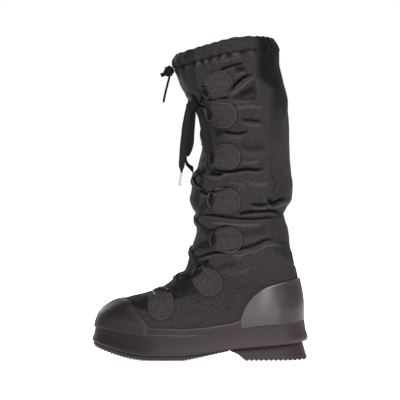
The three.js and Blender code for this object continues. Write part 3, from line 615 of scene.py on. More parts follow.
# Folds of the outer side: height (troughs below zero), width, then places (x, z)
lateralFolds = [
    (-5.6, 2.9, [(-71, 342), (-62, 351), (-53, 360), (-43, 368), (-32, 373)]),
    (4.6, 3.0, [(-64, 341), (-50, 352), (-37, 363), (-26, 370)]),
    (-2.0, 6.0, [(-49, 345), (-38, 350), (-30, 354)]),
    (1.2, 2.4, [(-27, 366), (-24.5, 356), (-24.5, 346), (-27, 338)]),
    (1.3, 3.4, [(-80, 386), (-66, 390), (-52, 393), (-38, 398)]),
    (-3.4, 3.0, [(-77, 377), (-59, 383), (-42, 387)]),
    (-2.2, 6.0, [(-56, 378), (-40, 380)]),
    (-3.6, 2.6, [(-92, 338), (-77, 341), (-62, 341)]),
    (1.6, 2.6, [(-88, 334), (-63, 335), (-46, 336), (-24, 338)]),
    (-2.4, 3.2, [(-49, 313), (-33, 312), (-18, 310)]),
    (1.4, 4.0, [(-46, 306), (-30, 305), (-18, 304)]),
    (-3.4, 2.6, [(-73, 299), (-61, 296), (-49, 295), (-36, 299)]),
    (1.6, 3.6, [(-72, 291), (-58, 289), (-42, 290)]),
    (-5.0, 3.2, [(-90, 251), (-74, 248), (-60, 246), (-41, 249), (-25, 248), (-15, 252)]),
    (-3.0, 5.0, [(-90, 245), (-80, 243), (-70, 243)]),
    (3.0, 3.4, [(-94, 237), (-86, 240), (-77, 239), (-68, 241), (-58, 243)]),
    (1.6, 5.0, [(-50, 257), (-34, 257), (-20, 260)]),
    (-4.4, 3.0, [(-104, 226), (-92, 217), (-86, 219), (-74, 222), (-62, 227)]),
    (1.8, 2.8, [(-66, 232), (-53, 230), (-40, 224)]),
    (-3.4, 3.0, [(-35, 204), (-21, 202), (-9, 204)]),
    (2.4, 3.8, [(-36, 198), (-22, 197), (-10, 199)]),
    (-6.0, 4.6, [(-12, 212), (-6, 204), (4, 207), (14, 212)]),
    (-4.4, 2.8, [(-54, 190), (-36, 193), (-20, 194), (-4, 194), (9, 190)]),
    (-3.6, 2.4, [(-105, 189), (-90, 190), (-68, 187), (-47, 185), (-25, 185), (-9, 187), (8, 188)]),
    (2.6, 4.4, [(-96, 180), (-70, 178), (-40, 176), (-10, 178)]),
    (-2.4, 2.8, [(-91, 168), (-82, 170), (-72, 174), (-60, 175)]),
    (2.6, 3.2, [(-71, 135), (-58, 137), (-47, 137), (-40, 140), (-26, 143), (-15, 149), (2, 150), (15, 142)]),
    (-2.8, 3.2, [(-72, 142), (-58, 144), (-42, 147), (-28, 151), (-14, 157), (2, 158)]),
    (1.4, 2.4, [(-58, 131), (-46, 134)]),
    (-3.8, 2.8, [(-106, 132), (-92, 138), (-80, 141), (-66, 141)]),
    (-5.0, 2.8, [(-107, 121), (-98, 126), (-89, 130)]),
    (2.2, 4.0, [(-112, 126), (-98, 133), (-86, 137)]),
    (-3.2, 3.2, [(-121, 350), (-107, 344), (-101, 336)]),
    (-1.2, 2.6, [(-8, 244), (-2, 230), (-5, 216)]),
    (1.6, 7.0, [(-60, 325), (-35, 330), (-15, 326)]),
    (-1.4, 7.0, [(-50, 280), (-30, 276), (-14, 280)]),
    (1.5, 8.0, [(-40, 232), (-24, 228), (-10, 232)]),
    (-1.2, 8.0, [(-50, 164), (-30, 168), (-8, 172)]),
    (1.0, 8.0, [(-70, 110), (-50, 114), (-30, 122)]),
    (-1.2, 6.0, [(-84, 118), (-66, 124), (-50, 126)]),
]
# Folds of the inner side, of the same kind, because the whole shaft slouches
medialFolds = [
    (-4.2, 3.6, [(-78, 352), (-62, 348), (-46, 352), (-30, 362)]),
    (2.6, 4.4, [(-76, 343), (-58, 340), (-40, 344), (-26, 353)]),
    (-2.6, 3.4, [(-66, 385), (-48, 386), (-32, 381)]),
    (-2.8, 3.0, [(-70, 316), (-54, 312), (-38, 314), (-22, 322)]),
    (1.8, 4.4, [(-66, 307), (-46, 304), (-26, 310)]),
    (-3.6, 3.2, [(-80, 284), (-64, 280), (-50, 283)]),
    (-4.6, 3.4, [(-88, 246), (-70, 244), (-52, 248), (-34, 244), (-16, 250)]),
    (2.8, 4.0, [(-86, 237), (-66, 235), (-48, 239), (-30, 236)]),
    (-3.8, 3.2, [(-98, 222), (-84, 216), (-70, 219), (-56, 226)]),
    (-4.8, 4.4, [(-18, 208), (-4, 205), (12, 210)]),
    (-4.0, 3.0, [(-64, 194), (-44, 191), (-22, 193), (2, 190)]),
    (-3.2, 2.8, [(-104, 188), (-84, 186), (-60, 184), (-36, 185), (-8, 184)]),
    (2.4, 4.6, [(-90, 177), (-60, 175), (-30, 176)]),
    (-3.0, 3.0, [(-88, 146), (-68, 143), (-46, 146), (-22, 153), (6, 150)]),
    (2.4, 3.8, [(-86, 138), (-66, 135), (-44, 138), (-20, 145)]),
    (-3.2, 3.0, [(-106, 131), (-90, 136), (-72, 137)]),
    (-2.8, 3.0, [(-108, 119), (-92, 125), (-76, 127)]),
    (-1.4, 8.0, [(-60, 266), (-36, 268), (-14, 274)]),
    (1.2, 8.0, [(-66, 114), (-46, 118), (-26, 124)]),
]


def nearestOn(p, a, b):
    # The share along the line a-b that is nearest to each point, and the way from there to the point
    share = np.clip((p - a) @ (b - a) / ((b - a) @ (b - a)), 0, 1)
    return share, p - a - share[:, None] * (b - a)


def foldRelief(x, z, folds):
    # Height of the folds, a painted shade by how deep in a crease each point lies, and a painted highlight by
    # how far up on a ridge
    relief, creaseShade, ridgeHighlight = np.zeros((3, len(x)))
    for height, width, places in folds:
        height *= upper["foldDepth"] if height < 0 else upper["ridgeHeight"]
        width *= upper["foldWidth"]
        line = smoothRoute(places, 5 * len(places))
        p = np.stack([x, z], 1)
        within = (p > line.min(0) - 3.2 * width) & (p < line.max(0) + 3.2 * width)
        near = np.flatnonzero(within.all(1))
        if not len(near):
            continue
        p = p[near]
        best, share, under = np.full(len(p), 1e9), np.zeros(len(p)), np.zeros(len(p))
        for i in range(len(line) - 1):
            t, off = nearestOn(p, line[i], line[i + 1])
            gap = np.linalg.norm(off, axis=1)
            closer = gap < best
            best = np.where(closer, gap, best)
            share = np.where(closer, (i + t) / (len(line) - 1), share)
            under = np.where(closer, off[:, 1] < 0, under)
        fade = 0.12 + 0.88 * soft(np.minimum(share, 1 - share), 0, 0.2)
        profile = fade * bell(best, width)
        relief[near] += height * profile
        if height < 0:  # a crease has a lip of cloth under it that catches the light, and the lip gets a painted highlight too
            lip = fade * under * bell(best - 1.9 * width, 0.6 * width)
            relief[near] -= 0.15 * height * lip
            # painted shade that darkens the crease, and a painted highlight on its lip
            creaseShade[near] = np.maximum(creaseShade[near], profile * min(1, -height / 3.4))
            ridgeHighlight[near] = np.maximum(ridgeHighlight[near], 0.55 * lip * min(1, -height / 5))
        else:
            # painted highlight along the top of a raised fold
            ridgeHighlight[near] = np.maximum(ridgeHighlight[near], profile**5 * min(1, height / 1.4))
    return relief, creaseShade, ridgeHighlight


def insideShare(x, z, outline):
    # 1 inside an outline of the side view, 0 outside it, soft over its edge
    p, corners = np.stack([x, z], 1), np.array(outline, float)
    inside, gap = np.zeros(len(x), bool), np.full(len(x), 1e9)
    for a, b in zip(corners, np.roll(corners, -1, axis=0)):
        rise = b[1] - a[1] if abs(b[1] - a[1]) > 1e-9 else 1e-9
        inside ^= ((a[1] > z) != (b[1] > z)) & (x < (b[0] - a[0]) * (z - a[1]) / rise + a[0])
        gap = np.minimum(gap, np.linalg.norm(nearestOn(p, a, b)[1], axis=1))
    return soft(np.where(inside, gap, -gap), -1, 1)


# Flat places of the outer side: relief, shade, plainness, then their outline (x, z)
patches = [
    (-2.4, 0.9, 0, [(-59, 341.5), (-44, 349), (-29, 358.5), (-27, 349), (-28, 339), (-42, 338)]),
    (-1.2, 0.6, 0, [(-90, 250), (-76, 249.5), (-62, 247), (-62, 243.5), (-72, 241), (-88, 241)]),
    (-0.8, 0, 0.9, [(-7, 186), (14, 186), (17, 154), (-7, 154)]),
    (-1.5, 0.7, 0, [(-106, 336), (-93, 331), (-91, 325), (-98, 318), (-108, 322)]),
    (-1.5, 0.6, 0, [(-104, 305), (-92, 298), (-92, 288), (-100, 284)]),
    (-1.5, 0.6, 0, [(-106, 258), (-94, 262), (-92, 246), (-99, 238)]),
    (-1.2, 0.5, 0, [(-118, 232), (-104, 226), (-98, 212), (-112, 214)]),
    (-1.5, 0.8, 0, [(-82, 302), (-70.5, 299.3), (-61.5, 295.4), (-72, 294), (-78, 291.5), (-81, 295.4)]),
    (0.9, 0, 0.5, [(2, 312), (8, 306), (7, 290), (-1, 288)]),
]


def rubberEdge(along):
    # Height of the rubber's upper edge over the ground, all the way round
    low = ledgeAt(along) / body["ankleHeight"]
    cap = np.where(along > capEdge[-1][0], low, curveAt(*zip(*capEdge), along))
    counter = np.where(along < counterEdge[0][0], low, curveAt(*zip(*counterEdge), along))
    return np.maximum(np.maximum(cap, counter), low) * body["ankleHeight"]


# Edges over the ground as shares of the ankle's height, by their place along the sole
capEdge = [(0.125, 0.72), (0.14, 0.615), (0.186, 0.578), (0.202, 0.507), (0.228, 0.447), (0.268, 0.33)]
counterEdge = [(0.687, 0.411), (0.707, 0.524), (0.748, 0.637), (0.814, 0.733), (0.96, 0.812), (1.02, 0.83)]
# Edges of the front and back panels (z, x) and of the plain vamp (x, z)
frontEdge = [(80, -100), (100, -112), (150, -107), (200, -102), (250, -94), (300, -92), (343, -101)]
frontEdge += [(388, -108), (420, -110)]
backEdge = [(60, 60), (110, 40), (150, -2), (200, -6), (300, -8.5), (350, -7), (372, -26), (420, -27)]
vampEdge = [(-200, 75), (-178, 67.7), (-162, 63.8), (-133, 80), (-113, 86), (-94, 92)]
gather = {
    "drop": 17,  # from the rim down to the drawcord tunnel's lower stitching
    "turns": 29,
    "uneven": 2.1,
    "smoothFrom": -18,  # the collar is smooth from here to the back
    "puff": 1.35,
    "stitchDepth": 1.2,
}
clothLook = {
    "loopShade": 0.85,
    "tabShade": 0.65,
    "unevenness": 0.8,
    "seamDepth": 0.9,
    # strengths of the painted highlight on ridges and the painted shade in creases
    "ridgeHighlights": 0.5,
    "creases": 0.95,
}
shadedSpots = []  # middles of the outer side's tabs and loops, from the side
for row in tabRows:
    centre, _, tail, _ = tabFrame(*row, 1)
    inLoop = centre - tail * (tab["length"] / 2 + loop["reach"] * 0.45)
    shadedSpots.append((centre[[0, 2]], inLoop[[0, 2]]))


def gatherTurns(theta):
    # The uneven run of small gathers round the collar
    return theta * gather["turns"] + gather["uneven"] * np.sin(theta * 5)


def gatheredShare(x):
    return soft(gather["smoothFrom"] - x, 0, 20)


def upperRelief(points, theta):
    # Moves of the skin along its normal, and the shares that colour it
    x, _, z = points.T
    lateral = soft(np.sin(theta), -0.22, 0.22)
    bothSides = zip(foldRelief(x, z, medialFolds), foldRelief(x, z, lateralFolds))
    relief, creaseShade, ridgeHighlight = (mix(inner, outer, lateral) for inner, outer in bothSides)
    shade, plainPatch = np.zeros((2, len(x)))
    for height, dark, plainness, outline in patches:
        inside = insideShare(x, z, outline) * lateral
        relief += height * inside
        shade = np.maximum(shade, dark * inside)
        plainPatch = np.maximum(plainPatch, plainness * inside)
    for atTab, atLoop in shadedSpots:  # the cloth is in shade inside each loop and just outside each tab
        within = 8.5 - np.hypot(x - atLoop[0], z - atLoop[1])
        shade = np.maximum(shade, clothLook["loopShade"] * soft(within, 0, 3.5))
        past = np.hypot(x - atTab[0], z - atTab[1]) - tab["length"] / 2
        shade = np.maximum(shade, clothLook["tabShade"] * bell(past - 0.4, 1.7))
    relief += clothLook["unevenness"] * (waves(points, 34) + 0.5 * waves(points, 13, 2.2))
    below = skinAt(theta, np.full_like(theta, lastLevel))[:, 2] - z
    turns, gathered = gatherTurns(theta), gatheredShare(x)
    past = below - gather["drop"]
    decay = np.exp(-np.maximum(0, past) / 11) * soft(below, 4, gather["drop"])
    relief += (0.35 + gather["puff"] * gathered) * np.sin(turns) * decay
    fromStitch = past - 1.1 * np.sin(turns * 1.31) - 0.8 * np.sin(turns * 2.7)
    sewn = bell(fromStitch, 1.5)
    notch = gathered * np.clip(-np.sin(turns), 0, 1) * bell(fromStitch - 3, 3.2)
    gatherHighlight = gathered * np.clip(np.sin(turns), 0, 1) * bell(fromStitch - 4.2, 2)
    relief -= 0.4 * sewn + gather["stitchDepth"] * (gathered * sewn + notch)
    # painted shade along the gathered stitching and in its notches, painted highlight on the puffs between
    # them
    creaseShade = np.maximum(creaseShade, (0.15 + 0.75 * gathered) * sewn + 0.6 * notch)
    ridgeHighlight = np.maximum(ridgeHighlight, 0.75 * gatherHighlight)
    bare = soft(z - rubberEdge(alongAt(x)), 3, 16)
    relief *= bare
    front = soft(curveAt(*zip(*frontEdge), z) - x, -1, 1) * soft(z, 84, 90)
    vamp = soft(z - curveAt(*zip(*vampEdge), x), -1.6, 1.6) * soft(-93 - x, -2, 2) * soft(108 - z, 0, 12)
    front = np.maximum(front, vamp)
    edgeX = curveAt(*zip(*backEdge), z)
    back = soft(x - edgeX, -4, 6)
    seam = bell(x - edgeX, 1.6) * bare
    relief -= clothLook["seamDepth"] * seam
    # the back panel's tone, with a painted shade that grows towards the top
    backToneAndShade = back * curveAt([0, 120, 300, 345, 372], [0.4, 0.5, 0.5, 0.9, 1], z)
    return relief, {
        "frontPanel": front,
        "frontShade": np.maximum(front * soft(348 - z, 0, 14) * 0.85, shade),
        "backPanelAndShade": np.maximum(backToneAndShade, 0.35 * seam),
        # painted sheen: a paler band round the middle of the back panel
        "backPaintedSheen": back * bell(z - 268, 42) * 0.9 * (1 - plainPatch),
        "plainPatch": plainPatch,
        "smoothCloth": np.clip(front + 0.8 * back + plainPatch + shade, 0, 1),
        # painted highlight on ridges
        "ridgeHighlight": np.clip(ridgeHighlight, 0, 1) * clothLook["ridgeHighlights"] * bare * (1 - 0.6 * front),
        # painted shade in creases
        "creaseShade": np.clip(1.45 * creaseShade, 0, 1) ** 1.3 * clothLook["creases"] * bare,
    }


columns, outerRows, wall = upper["columns"], upper["outerRows"], body["wall"]
thetaRow = np.arange(columns) * 2 * math.pi / columns
fineLevels = np.linspace(0, lastLevel, 1500)
fineLengths = runLengths(np.concatenate([skinAt(t, fineLevels) for t in (0, math.pi, 1.4)], 1))
levels = np.interp(np.linspace(0, fineLengths[-1], outerRows), fineLengths, fineLevels)
thetaGrid, levelGrid = (g.ravel() for g in np.meshgrid(thetaRow, levels))
plain, normals = skinAt(thetaGrid, levelGrid), skinNormal(thetaGrid, levelGrid)
relief, shares = upperRelief(plain, thetaGrid)
outerSkin = plain + normals * relief[:, None]
scallop = 0.45 * np.sin(gatherTurns(thetaGrid)) * soft(levelGrid, lastLevel - 0.5, lastLevel)
outerSkin[:, 2] += scallop
rim = []
for i in range(1, upper["rimRound"] + 1):  # the collar's edge rolls over to the inside
    angle = math.pi * i / (upper["rimRound"] + 1)
    inwards = normals[-columns:] * (wall / 2 * (1 - math.cos(angle)))
    rim.append(outerSkin[-columns:] - inwards + np.array([0, 0, wall / 2 * math.sin(angle)]))
innerLevels = np.linspace(lastLevel, 0.3, upper["innerRows"])
innerTheta, innerLevel = (g.ravel() for g in np.meshgrid(thetaRow, innerLevels))
innerPlain = skinAt(innerTheta, innerLevel)
rimGap = np.tile(innerPlain[:columns, 2], upper["innerRows"]) - innerPlain[:, 2]
inset = wall + upper["liningGap"] * soft(rimGap, 2, 28) * soft(innerPlain[:, 2], 45, 125)
innerSkin = innerPlain - skinNormal(innerTheta, innerLevel) * inset[:, None]
innerSkin[:columns, 2] += scallop[-columns:]
upperPoints = np.vstack([outerSkin, *rim, innerSkin])
rows = len(upperPoints) // columns
upperFaces = gridFaces(rows, columns, closed=True) + joinRings(columns, (rows - 1) * columns, 0)
picks = [int(i >= (outerRows + 1) * columns) for i in range(len(upperFaces))]  # the lining is the second
plainGrid = plain.reshape(outerRows, columns, 3)
around = np.linalg.norm(np.diff(plainGrid, axis=1, append=plainGrid[:, :1]), axis=2)
aroundRun = np.concatenate([np.zeros((outerRows, 1)), np.cumsum(around, axis=1)[:, :-1]], 1)
aroundRun[:, columns // 2 + 1 :] -= around.sum(1)[:, None]
upRun = np.repeat(runLengths(plainGrid[:, columns // 4]), columns)
spare = len(upperPoints) - len(plain)
clothPlace = np.pad(np.stack([aroundRun.ravel(), upRun], 1) * mm, ((0, spare), (0, 0)))
shares = {key: np.pad(values, (0, spare)) for key, values in shares.items()}
upperForm = (upperPoints, upperFaces, clothPlace)
addPiece("upperNylon", upperForm, [nylon, lining], "upper", shares=shares, picks=picks)
skinTree = BVHTree.FromPolygons([Vector(p) for p in outerSkin], gridFaces(outerRows, columns, closed=True))
print("upper made")


def castOn(points, direction, reach=70):
    # Where lines against direction first meet the folded skin, and the skin's normals there
    hits, outs = [], []
    direction = Vector(unit(direction))
    for p in map(Vector, points):
        hit, normal = skinTree.ray_cast(p + direction * reach, -direction, 4 * reach)[:2]
        if hit is None:
            hit, normal = skinTree.find_nearest(p)[:2]
        hits.append(hit)
        outs.append(-normal if normal.dot(direction) < 0 else normal)
    return np.array(hits), np.array(outs)


# Drawcord tunnel: a puffed band under the collar's edge, gathered by its cord

tunnel = {"top": 1.2, "height": 15, "rows": 14, "puff": 0.75, "foot": 0.12}


def makeTunnel():
    theta, turns = thetaRow, gatherTurns(thetaRow)
    rimZ = skinAt(theta, np.full_like(theta, lastLevel))[:, 2]
    outer, inner = [], []
    for share in np.linspace(0, 1, tunnel["rows"]):
        drop = tunnel["top"] + tunnel["height"] * share
        level = levelWhere(theta, lambda p: p[:, 2] - rimZ + drop)
        base, normal = skinAt(theta, level), skinNormal(theta, level)
        relief = upperRelief(base, theta)[0]
        puff = tunnel["puff"] * math.sin(math.pi * mix(0.06, 0.94, share)) ** 0.6
        pucker = 0.5 * np.sin(turns + 0.6) * (0.4 + share) + 0.3 * np.sin(turns * 2.3 + 5 * share)
        lift = relief + tunnel["foot"] + puff * (1 + 0.3 * np.sin(turns))
        lift += pucker * 0.5 * gatheredShare(base[:, 0])
        outer.append(base + normal * lift[:, None])
        inner.append(base + normal * (relief + 0.05)[:, None])
    loops = outer + inner[::-1]
    count = len(theta)
    faces = gridFaces(len(loops), count, closed=True, turned=True)
    faces += joinRings(count, 0, (len(loops) - 1) * count)
    aroundRun, upRun = np.tile(theta * 52, len(loops)), np.repeat(np.arange(len(loops)) * 1.1, count)
    clothPlace = np.stack([aroundRun, upRun], 1) * mm
    zone = upperRelief(np.vstack(outer), np.tile(theta, len(outer)))[1]
    tint = {key: np.concatenate([v, v[::-1]]) * (key not in ("creaseShade", "ridgeHighlight")) for key, v in zone.items()}
    form = (np.vstack(loops), faces, clothPlace)
    addPiece("collarTunnel", form, nylon, "collar_tunnel", shares=tint)


makeTunnel()


# Rubber laid over the upper: toe cap, heel counter and foxing, as slabs with rounded edges

overlays = {
    "cap": 2.2,
    "counter": 2.3,
    "foxing": 1.7,
    "foxingHeight": 8,
    "edgeRound": 2.2,
    "capFeather": 11,
    "capFlare": 1.8,
    "drop": 2.5,  # how far they reach down behind the cup's top edge
}
counterLook = {
    "edgeHighlightBelow": 104,  # its edge gets a painted highlight where it curves down
    "highlightX": -13.5,  # a painted highlight up both flanks, leaning with the height
    "highlightLean": 0.2,
    "highlightWidth": 8,
    "highlightShare": 0.27,
    "shadeBelow": 68,  # painted shade down by the cup
    "shadeShare": 0.55,
}


def toeShadeAt(x):
    return 0.75 * soft(-x, 10, 225)


def slabPiece(name, node, outer, inner, material, edge, toeShade=None):
    # Closes an outer and an inner grid of the same size into one slab
    rows, count = outer.shape[:2]
    shift = rows * count
    points = np.concatenate([outer.reshape(-1, 3), inner.reshape(-1, 3)])
    faces = gridFaces(rows, count) + gridFaces(rows, count, start=shift, turned=True)
    numbers = np.arange(shift).reshape(rows, count)
    border = [numbers[0], numbers[1:, -1], numbers[-1, -2::-1], numbers[-2:0:-1, 0]]
    border = np.concatenate(border).tolist()
    faces += [(b, a, a + shift, b + shift) for a, b in zip(border, border[1:] + border[:1])]
    toeShade = toeShadeAt(points[:, 0]) if toeShade is None else np.tile(toeShade.ravel(), 2)
    shares = {"edge": np.concatenate([edge.ravel(), edge.ravel() * 0]), "toeShade": toeShade}
    addPiece(name, (points, faces, None), material, node, shares=shares)


def overlayGrid(theta, low, high, rows, thickness, roundEnds=True, flare=0, feather=0):
    # Outer and inner skins of an overlay that thins to its edges, and how much its edge is worn
    level = low + (high - low) * ((1 - np.cos(np.linspace(0, math.pi, rows))) / 2)[:, None]
    spots = np.broadcast_to(theta, level.shape).ravel(), level.ravel()
    base, normal = (skin(*spots).reshape(*level.shape, 3) for skin in (skinAt, skinNormal))
    height = np.cumsum(np.linalg.norm(np.diff(base, axis=0, prepend=base[:1]), axis=2), axis=0)
    inFrom = height[-1] - height
    if roundEnds:
        width = runLengths(base[0])
        inFrom = np.minimum(inFrom, np.minimum(width, width[-1] - width))
    t = np.clip(inFrom / (feather or overlays["edgeRound"]), 0, 1)
    rounding = soft(t, -0.35, 1) if feather else np.sqrt(np.maximum(0, 1 - (1 - t) ** 2))
    clear = body["clearance"]
    lift = clear * 0.4 + (thickness + clear * 0.6) * (0.25 + 0.75 * rounding)
    lift += flare * bell(height, 7) * np.cos(np.clip(theta, -1.5, 1.5)) ** 2
    return base + normal * lift[..., None], base + normal * clear * 0.2, 0.7 * bell(inFrom - 1, 0.9)


def ledgeLevel(theta, lift=0.0):
    return levelWhere(theta, lambda p: p[:, 2] - ledgeAt(alongAt(p[:, 0])) - lift)


def thetaAtLedge(along):
    low, high = 0.0, math.pi
    for _ in range(40):
        middle = (low + high) / 2
        point = skinAt([middle], ledgeLevel(np.array([middle])))[0]
        low, high = (middle, high) if alongAt(point[0]) < along else (low, middle)
    return low


def edgeLevel(theta, edge, low):
    heights = [(along, share * body["ankleHeight"]) for along, share in edge]
    level = levelWhere(theta, lambda p: p[:, 2] - curveAt(*zip(*heights), alongAt(p[:, 0])))
    return np.maximum(level, low + 0.02)


capEnd = thetaAtLedge(capEdge[-1][0] + 0.008)
counterEnd = thetaAtLedge(counterEdge[0][0] - 0.002)
theta = np.linspace(-capEnd, capEnd, 170)
low = ledgeLevel(theta, -overlays["drop"])
high = edgeLevel(theta, capEdge, low)
look = {"flare": overlays["capFlare"], "feather": overlays["capFeather"]}
outer, inner, edge = overlayGrid(theta, low, high, 34, overlays["cap"], **look)
slabPiece("toeCap", "toe_cap", outer, inner, capRubber, edge * 0.04)

theta = np.linspace(counterEnd, 2 * math.pi - counterEnd, 170)
low = ledgeLevel(theta, -overlays["drop"])
outer, inner, edge = overlayGrid(theta, low, edgeLevel(theta, counterEdge, low), 40, overlays["counter"])
x, _, z = np.moveaxis(outer, 2, 0)
# painted highlight: a pale band up both flanks and a pale edge where the counter curves down
paintedHighlight = bell(x - counterLook["highlightX"] - counterLook["highlightLean"] * (z - 88), counterLook["highlightWidth"])
paintedHighlight *= counterLook["highlightShare"] * soft(z, 48, 94)
wearAndHighlight = np.clip(edge * soft(counterLook["edgeHighlightBelow"] - z, 0, 14) + paintedHighlight, 0, 1)
# painted shade low on the counter, by the cup
dull = counterLook["shadeShare"] * soft(counterLook["shadeBelow"] - z, 0, 22)
slabPiece("heelCounter", "heel_counter", outer, inner, counterRubber, wearAndHighlight, dull)

for sideName, sign in (("lateral", 1), ("medial", -1)):
    theta = sign * np.linspace(capEnd - 0.03, counterEnd + 0.03, 120)[::sign]
    low, high = ledgeLevel(theta, -overlays["drop"]), ledgeLevel(theta, overlays["foxingHeight"])
    outer, inner, edge = overlayGrid(theta, low, high, 12, overlays["foxing"], roundEnds=False)
    slabPiece(f"foxing_{sideName}", f"foxing_{sideName}", outer, inner, wallRubber, edge)
print("rubber overlays made")


# Sole: cup with its sidewall, insole, outsole plate and heel block


def soleRing(inset, heightOf, theta):
    # The sole's outline, moved inwards, at the heights that heightOf gives along it
    along = (1 - np.cos(theta)) / 2
    side = np.where(np.sin(theta) >= 0, -1.0, 1.0)
    half = body["ballWidth"] * sideShareAt(along, side) * endRound(along, 0.3, 0.14)
    line = np.stack([xAt(along), side * half + inswingAt(along)], 1)
    run = np.gradient(line, axis=0)
    if abs(theta[-1] - theta[0]) > 6:
        run = np.roll(line, -1, axis=0) - np.roll(line, 1, axis=0)
    inward = unit(np.stack([-run[:, 1], run[:, 0]], 1))
    line = line + inward * inset
    return np.column_stack([line, heightOf(alongAt(line[:, 0]))])


def closedLoft(name, loops, material, node, edge=0):
    # Closed rings, capped at both ends by strips from side to side
    count = len(loops[0])
    points = np.vstack(loops)
    faces = gridFaces(len(loops), count, closed=True)
    for start, turned in ((0, True), ((len(loops) - 1) * count, False)):
        for k in range(count // 2):
            corners = [start + k, start + k + 1, start + count - k - 1, start + (count - k) % count]
            corners = list(dict.fromkeys(corners))
            if len(corners) > 2:
                faces.append(tuple(corners if turned else corners[::-1]))
    wearAndHighlight = np.repeat(np.zeros(len(loops)) + edge, count)
    shares = {"edge": wearAndHighlight, "toeShade": toeShadeAt(points[:, 0])}
    addPiece(name, (points, faces, None), material, node, shares=shares)


cup = {
    "around": 320,
    "profile": [  # inset, share of the wall's height, pale edge as wear and painted highlight
        *[(5, 0, 0), (2, 0, 0), (1, 0.02, 0.1), (0.3, 0.07, 0.2), (0, 0.14, 0.2), (0.3, 0.2, 0.1)],
        *[(1.2, 0.3, 0), (2.6, 0.45, 0), (3.6, 0.65, 0), (4.3, 0.85, 0), (4.5, 0.93, 0.15)],
        *[(4.7, 0.975, 0.8), (5.2, 1, 0.9), (5.9, 0.995, 0.2)],
    ],
}
insoleProfile = [(0.6, 0), (0, 0.6), (0, 3.2), (0.5, 3.9), (1.6, 4.2), (6, 4)]  # inset and lift
ringTheta = np.arange(cup["around"]) * 2 * math.pi / cup["around"]
loops = [
    soleRing(inset, lambda a, s=share: mix(undersideAt(a), ledgeAt(a), s), ringTheta)
    for inset, share, _ in cup["profile"]
]
for lift in (-1.2, -8):
    level = ledgeLevel(ringTheta, lift)
    loops.append(skinAt(ringTheta, level) + skinNormal(ringTheta, level) * 0.3)
bedRing = skinAt(ringTheta, np.full_like(ringTheta, 0.02))
bedRing[:, 2] = bedAt(alongAt(bedRing[:, 0]))
cupWearAndHighlight = [wearAndHighlight for _, _, wearAndHighlight in cup["profile"]] + [0, 0, 0]
closedLoft("soleCup", [*loops, bedRing], wallRubber, "sole_cup", cupWearAndHighlight)

base = skinAt(ringTheta, np.zeros_like(ringTheta))
normal = skinNormal(ringTheta, np.ones_like(ringTheta))
normal[:, 2] = 0
insoleLoops = []
for inset, lift in insoleProfile:
    ring = base - unit(normal) * (wall + body["clearance"] + inset)
    ring[:, 2] = bedAt(alongAt(ring[:, 0])) + body["clearance"] + lift
    insoleLoops.append(ring)
closedLoft("insoleFelt", insoleLoops, felt, "insole")


def thetaOf(along):
    return math.acos(1 - 2 * np.clip(along, 0, 1))


def blockTheta(block, share):
    end = thetaOf(alongAt(float(np.interp(share, *zip(*block["end"])))))
    low, high = (end, 2 * math.pi - end) if block["atHeel"] else (-end, end)
    return np.linspace(low, high, block["points"])


def blockPiece(name, node, block):
    # Rubber block under the cup: open lines stacked from top to bottom, each closed straight across, with
    # its two faces gridded and the tread's cross grooves cut right through its edges
    def groove(p):
        return tread["depth"] * float(soft(math.sin(2 * math.pi * p[0] / block["pitch"]), 0.0, 0.7))

    across = tread["across"]
    shareAcross = np.linspace(0, 1, across + 1)[1:-1]
    loops = []
    for inset, share, _ in block["profile"]:
        def heightOf(along, share=share):
            return mix(block["foot"](along), undersideAt(along) - body["clearance"], share)

        line = soleRing(inset, heightOf, blockTheta(block, share))
        if len(loops) >= len(block["profile"]) - 2:
            line[:, 2] += [groove(p) for p in line]
        loops.append(np.vstack([line, line[-1] + (line[0] - line[-1]) * shareAcross[:, None]]))
    count, loopCount = len(line), len(loops[0])
    points = list(np.vstack(loops))
    faces = gridFaces(len(loops), loopCount, closed=True)
    for row, turned in ((0, False), (len(loops) - 1, True)):
        start, tip = row * loopCount, row * loopCount + (count - 1) // 2
        before = [start] + [start + loopCount - 1 - j for j in range(across - 1)] + [start + count - 1]
        for k in range(1, (count - 1) // 2):
            a, b = loops[row][k], loops[row][count - 1 - k]
            strip = [start + k]
            for share in shareAcross:
                p = a + (b - a) * share
                p[2] += groove(p) if turned else 0
                strip.append(len(points))
                points.append(p)
            strip.append(start + count - 1 - k)
            quads = [(before[j], before[j + 1], strip[j + 1], strip[j]) for j in range(across)]
            faces += [quad[::-1] for quad in quads] if turned else quads
            before = strip
        ends = [(before[j], before[j + 1], tip) for j in range(across)]
        faces += [end[::-1] for end in ends] if turned else ends
    wearAndHighlight = np.zeros(len(points))
    wearAndHighlight[: len(loops) * loopCount] = np.repeat([wearAndHighlight for _, _, wearAndHighlight in block["profile"]], loopCount)
    form = (np.array(points), faces, None)
    addPiece(name, form, treadRubber, node, sharp=38, shares={"edge": wearAndHighlight})


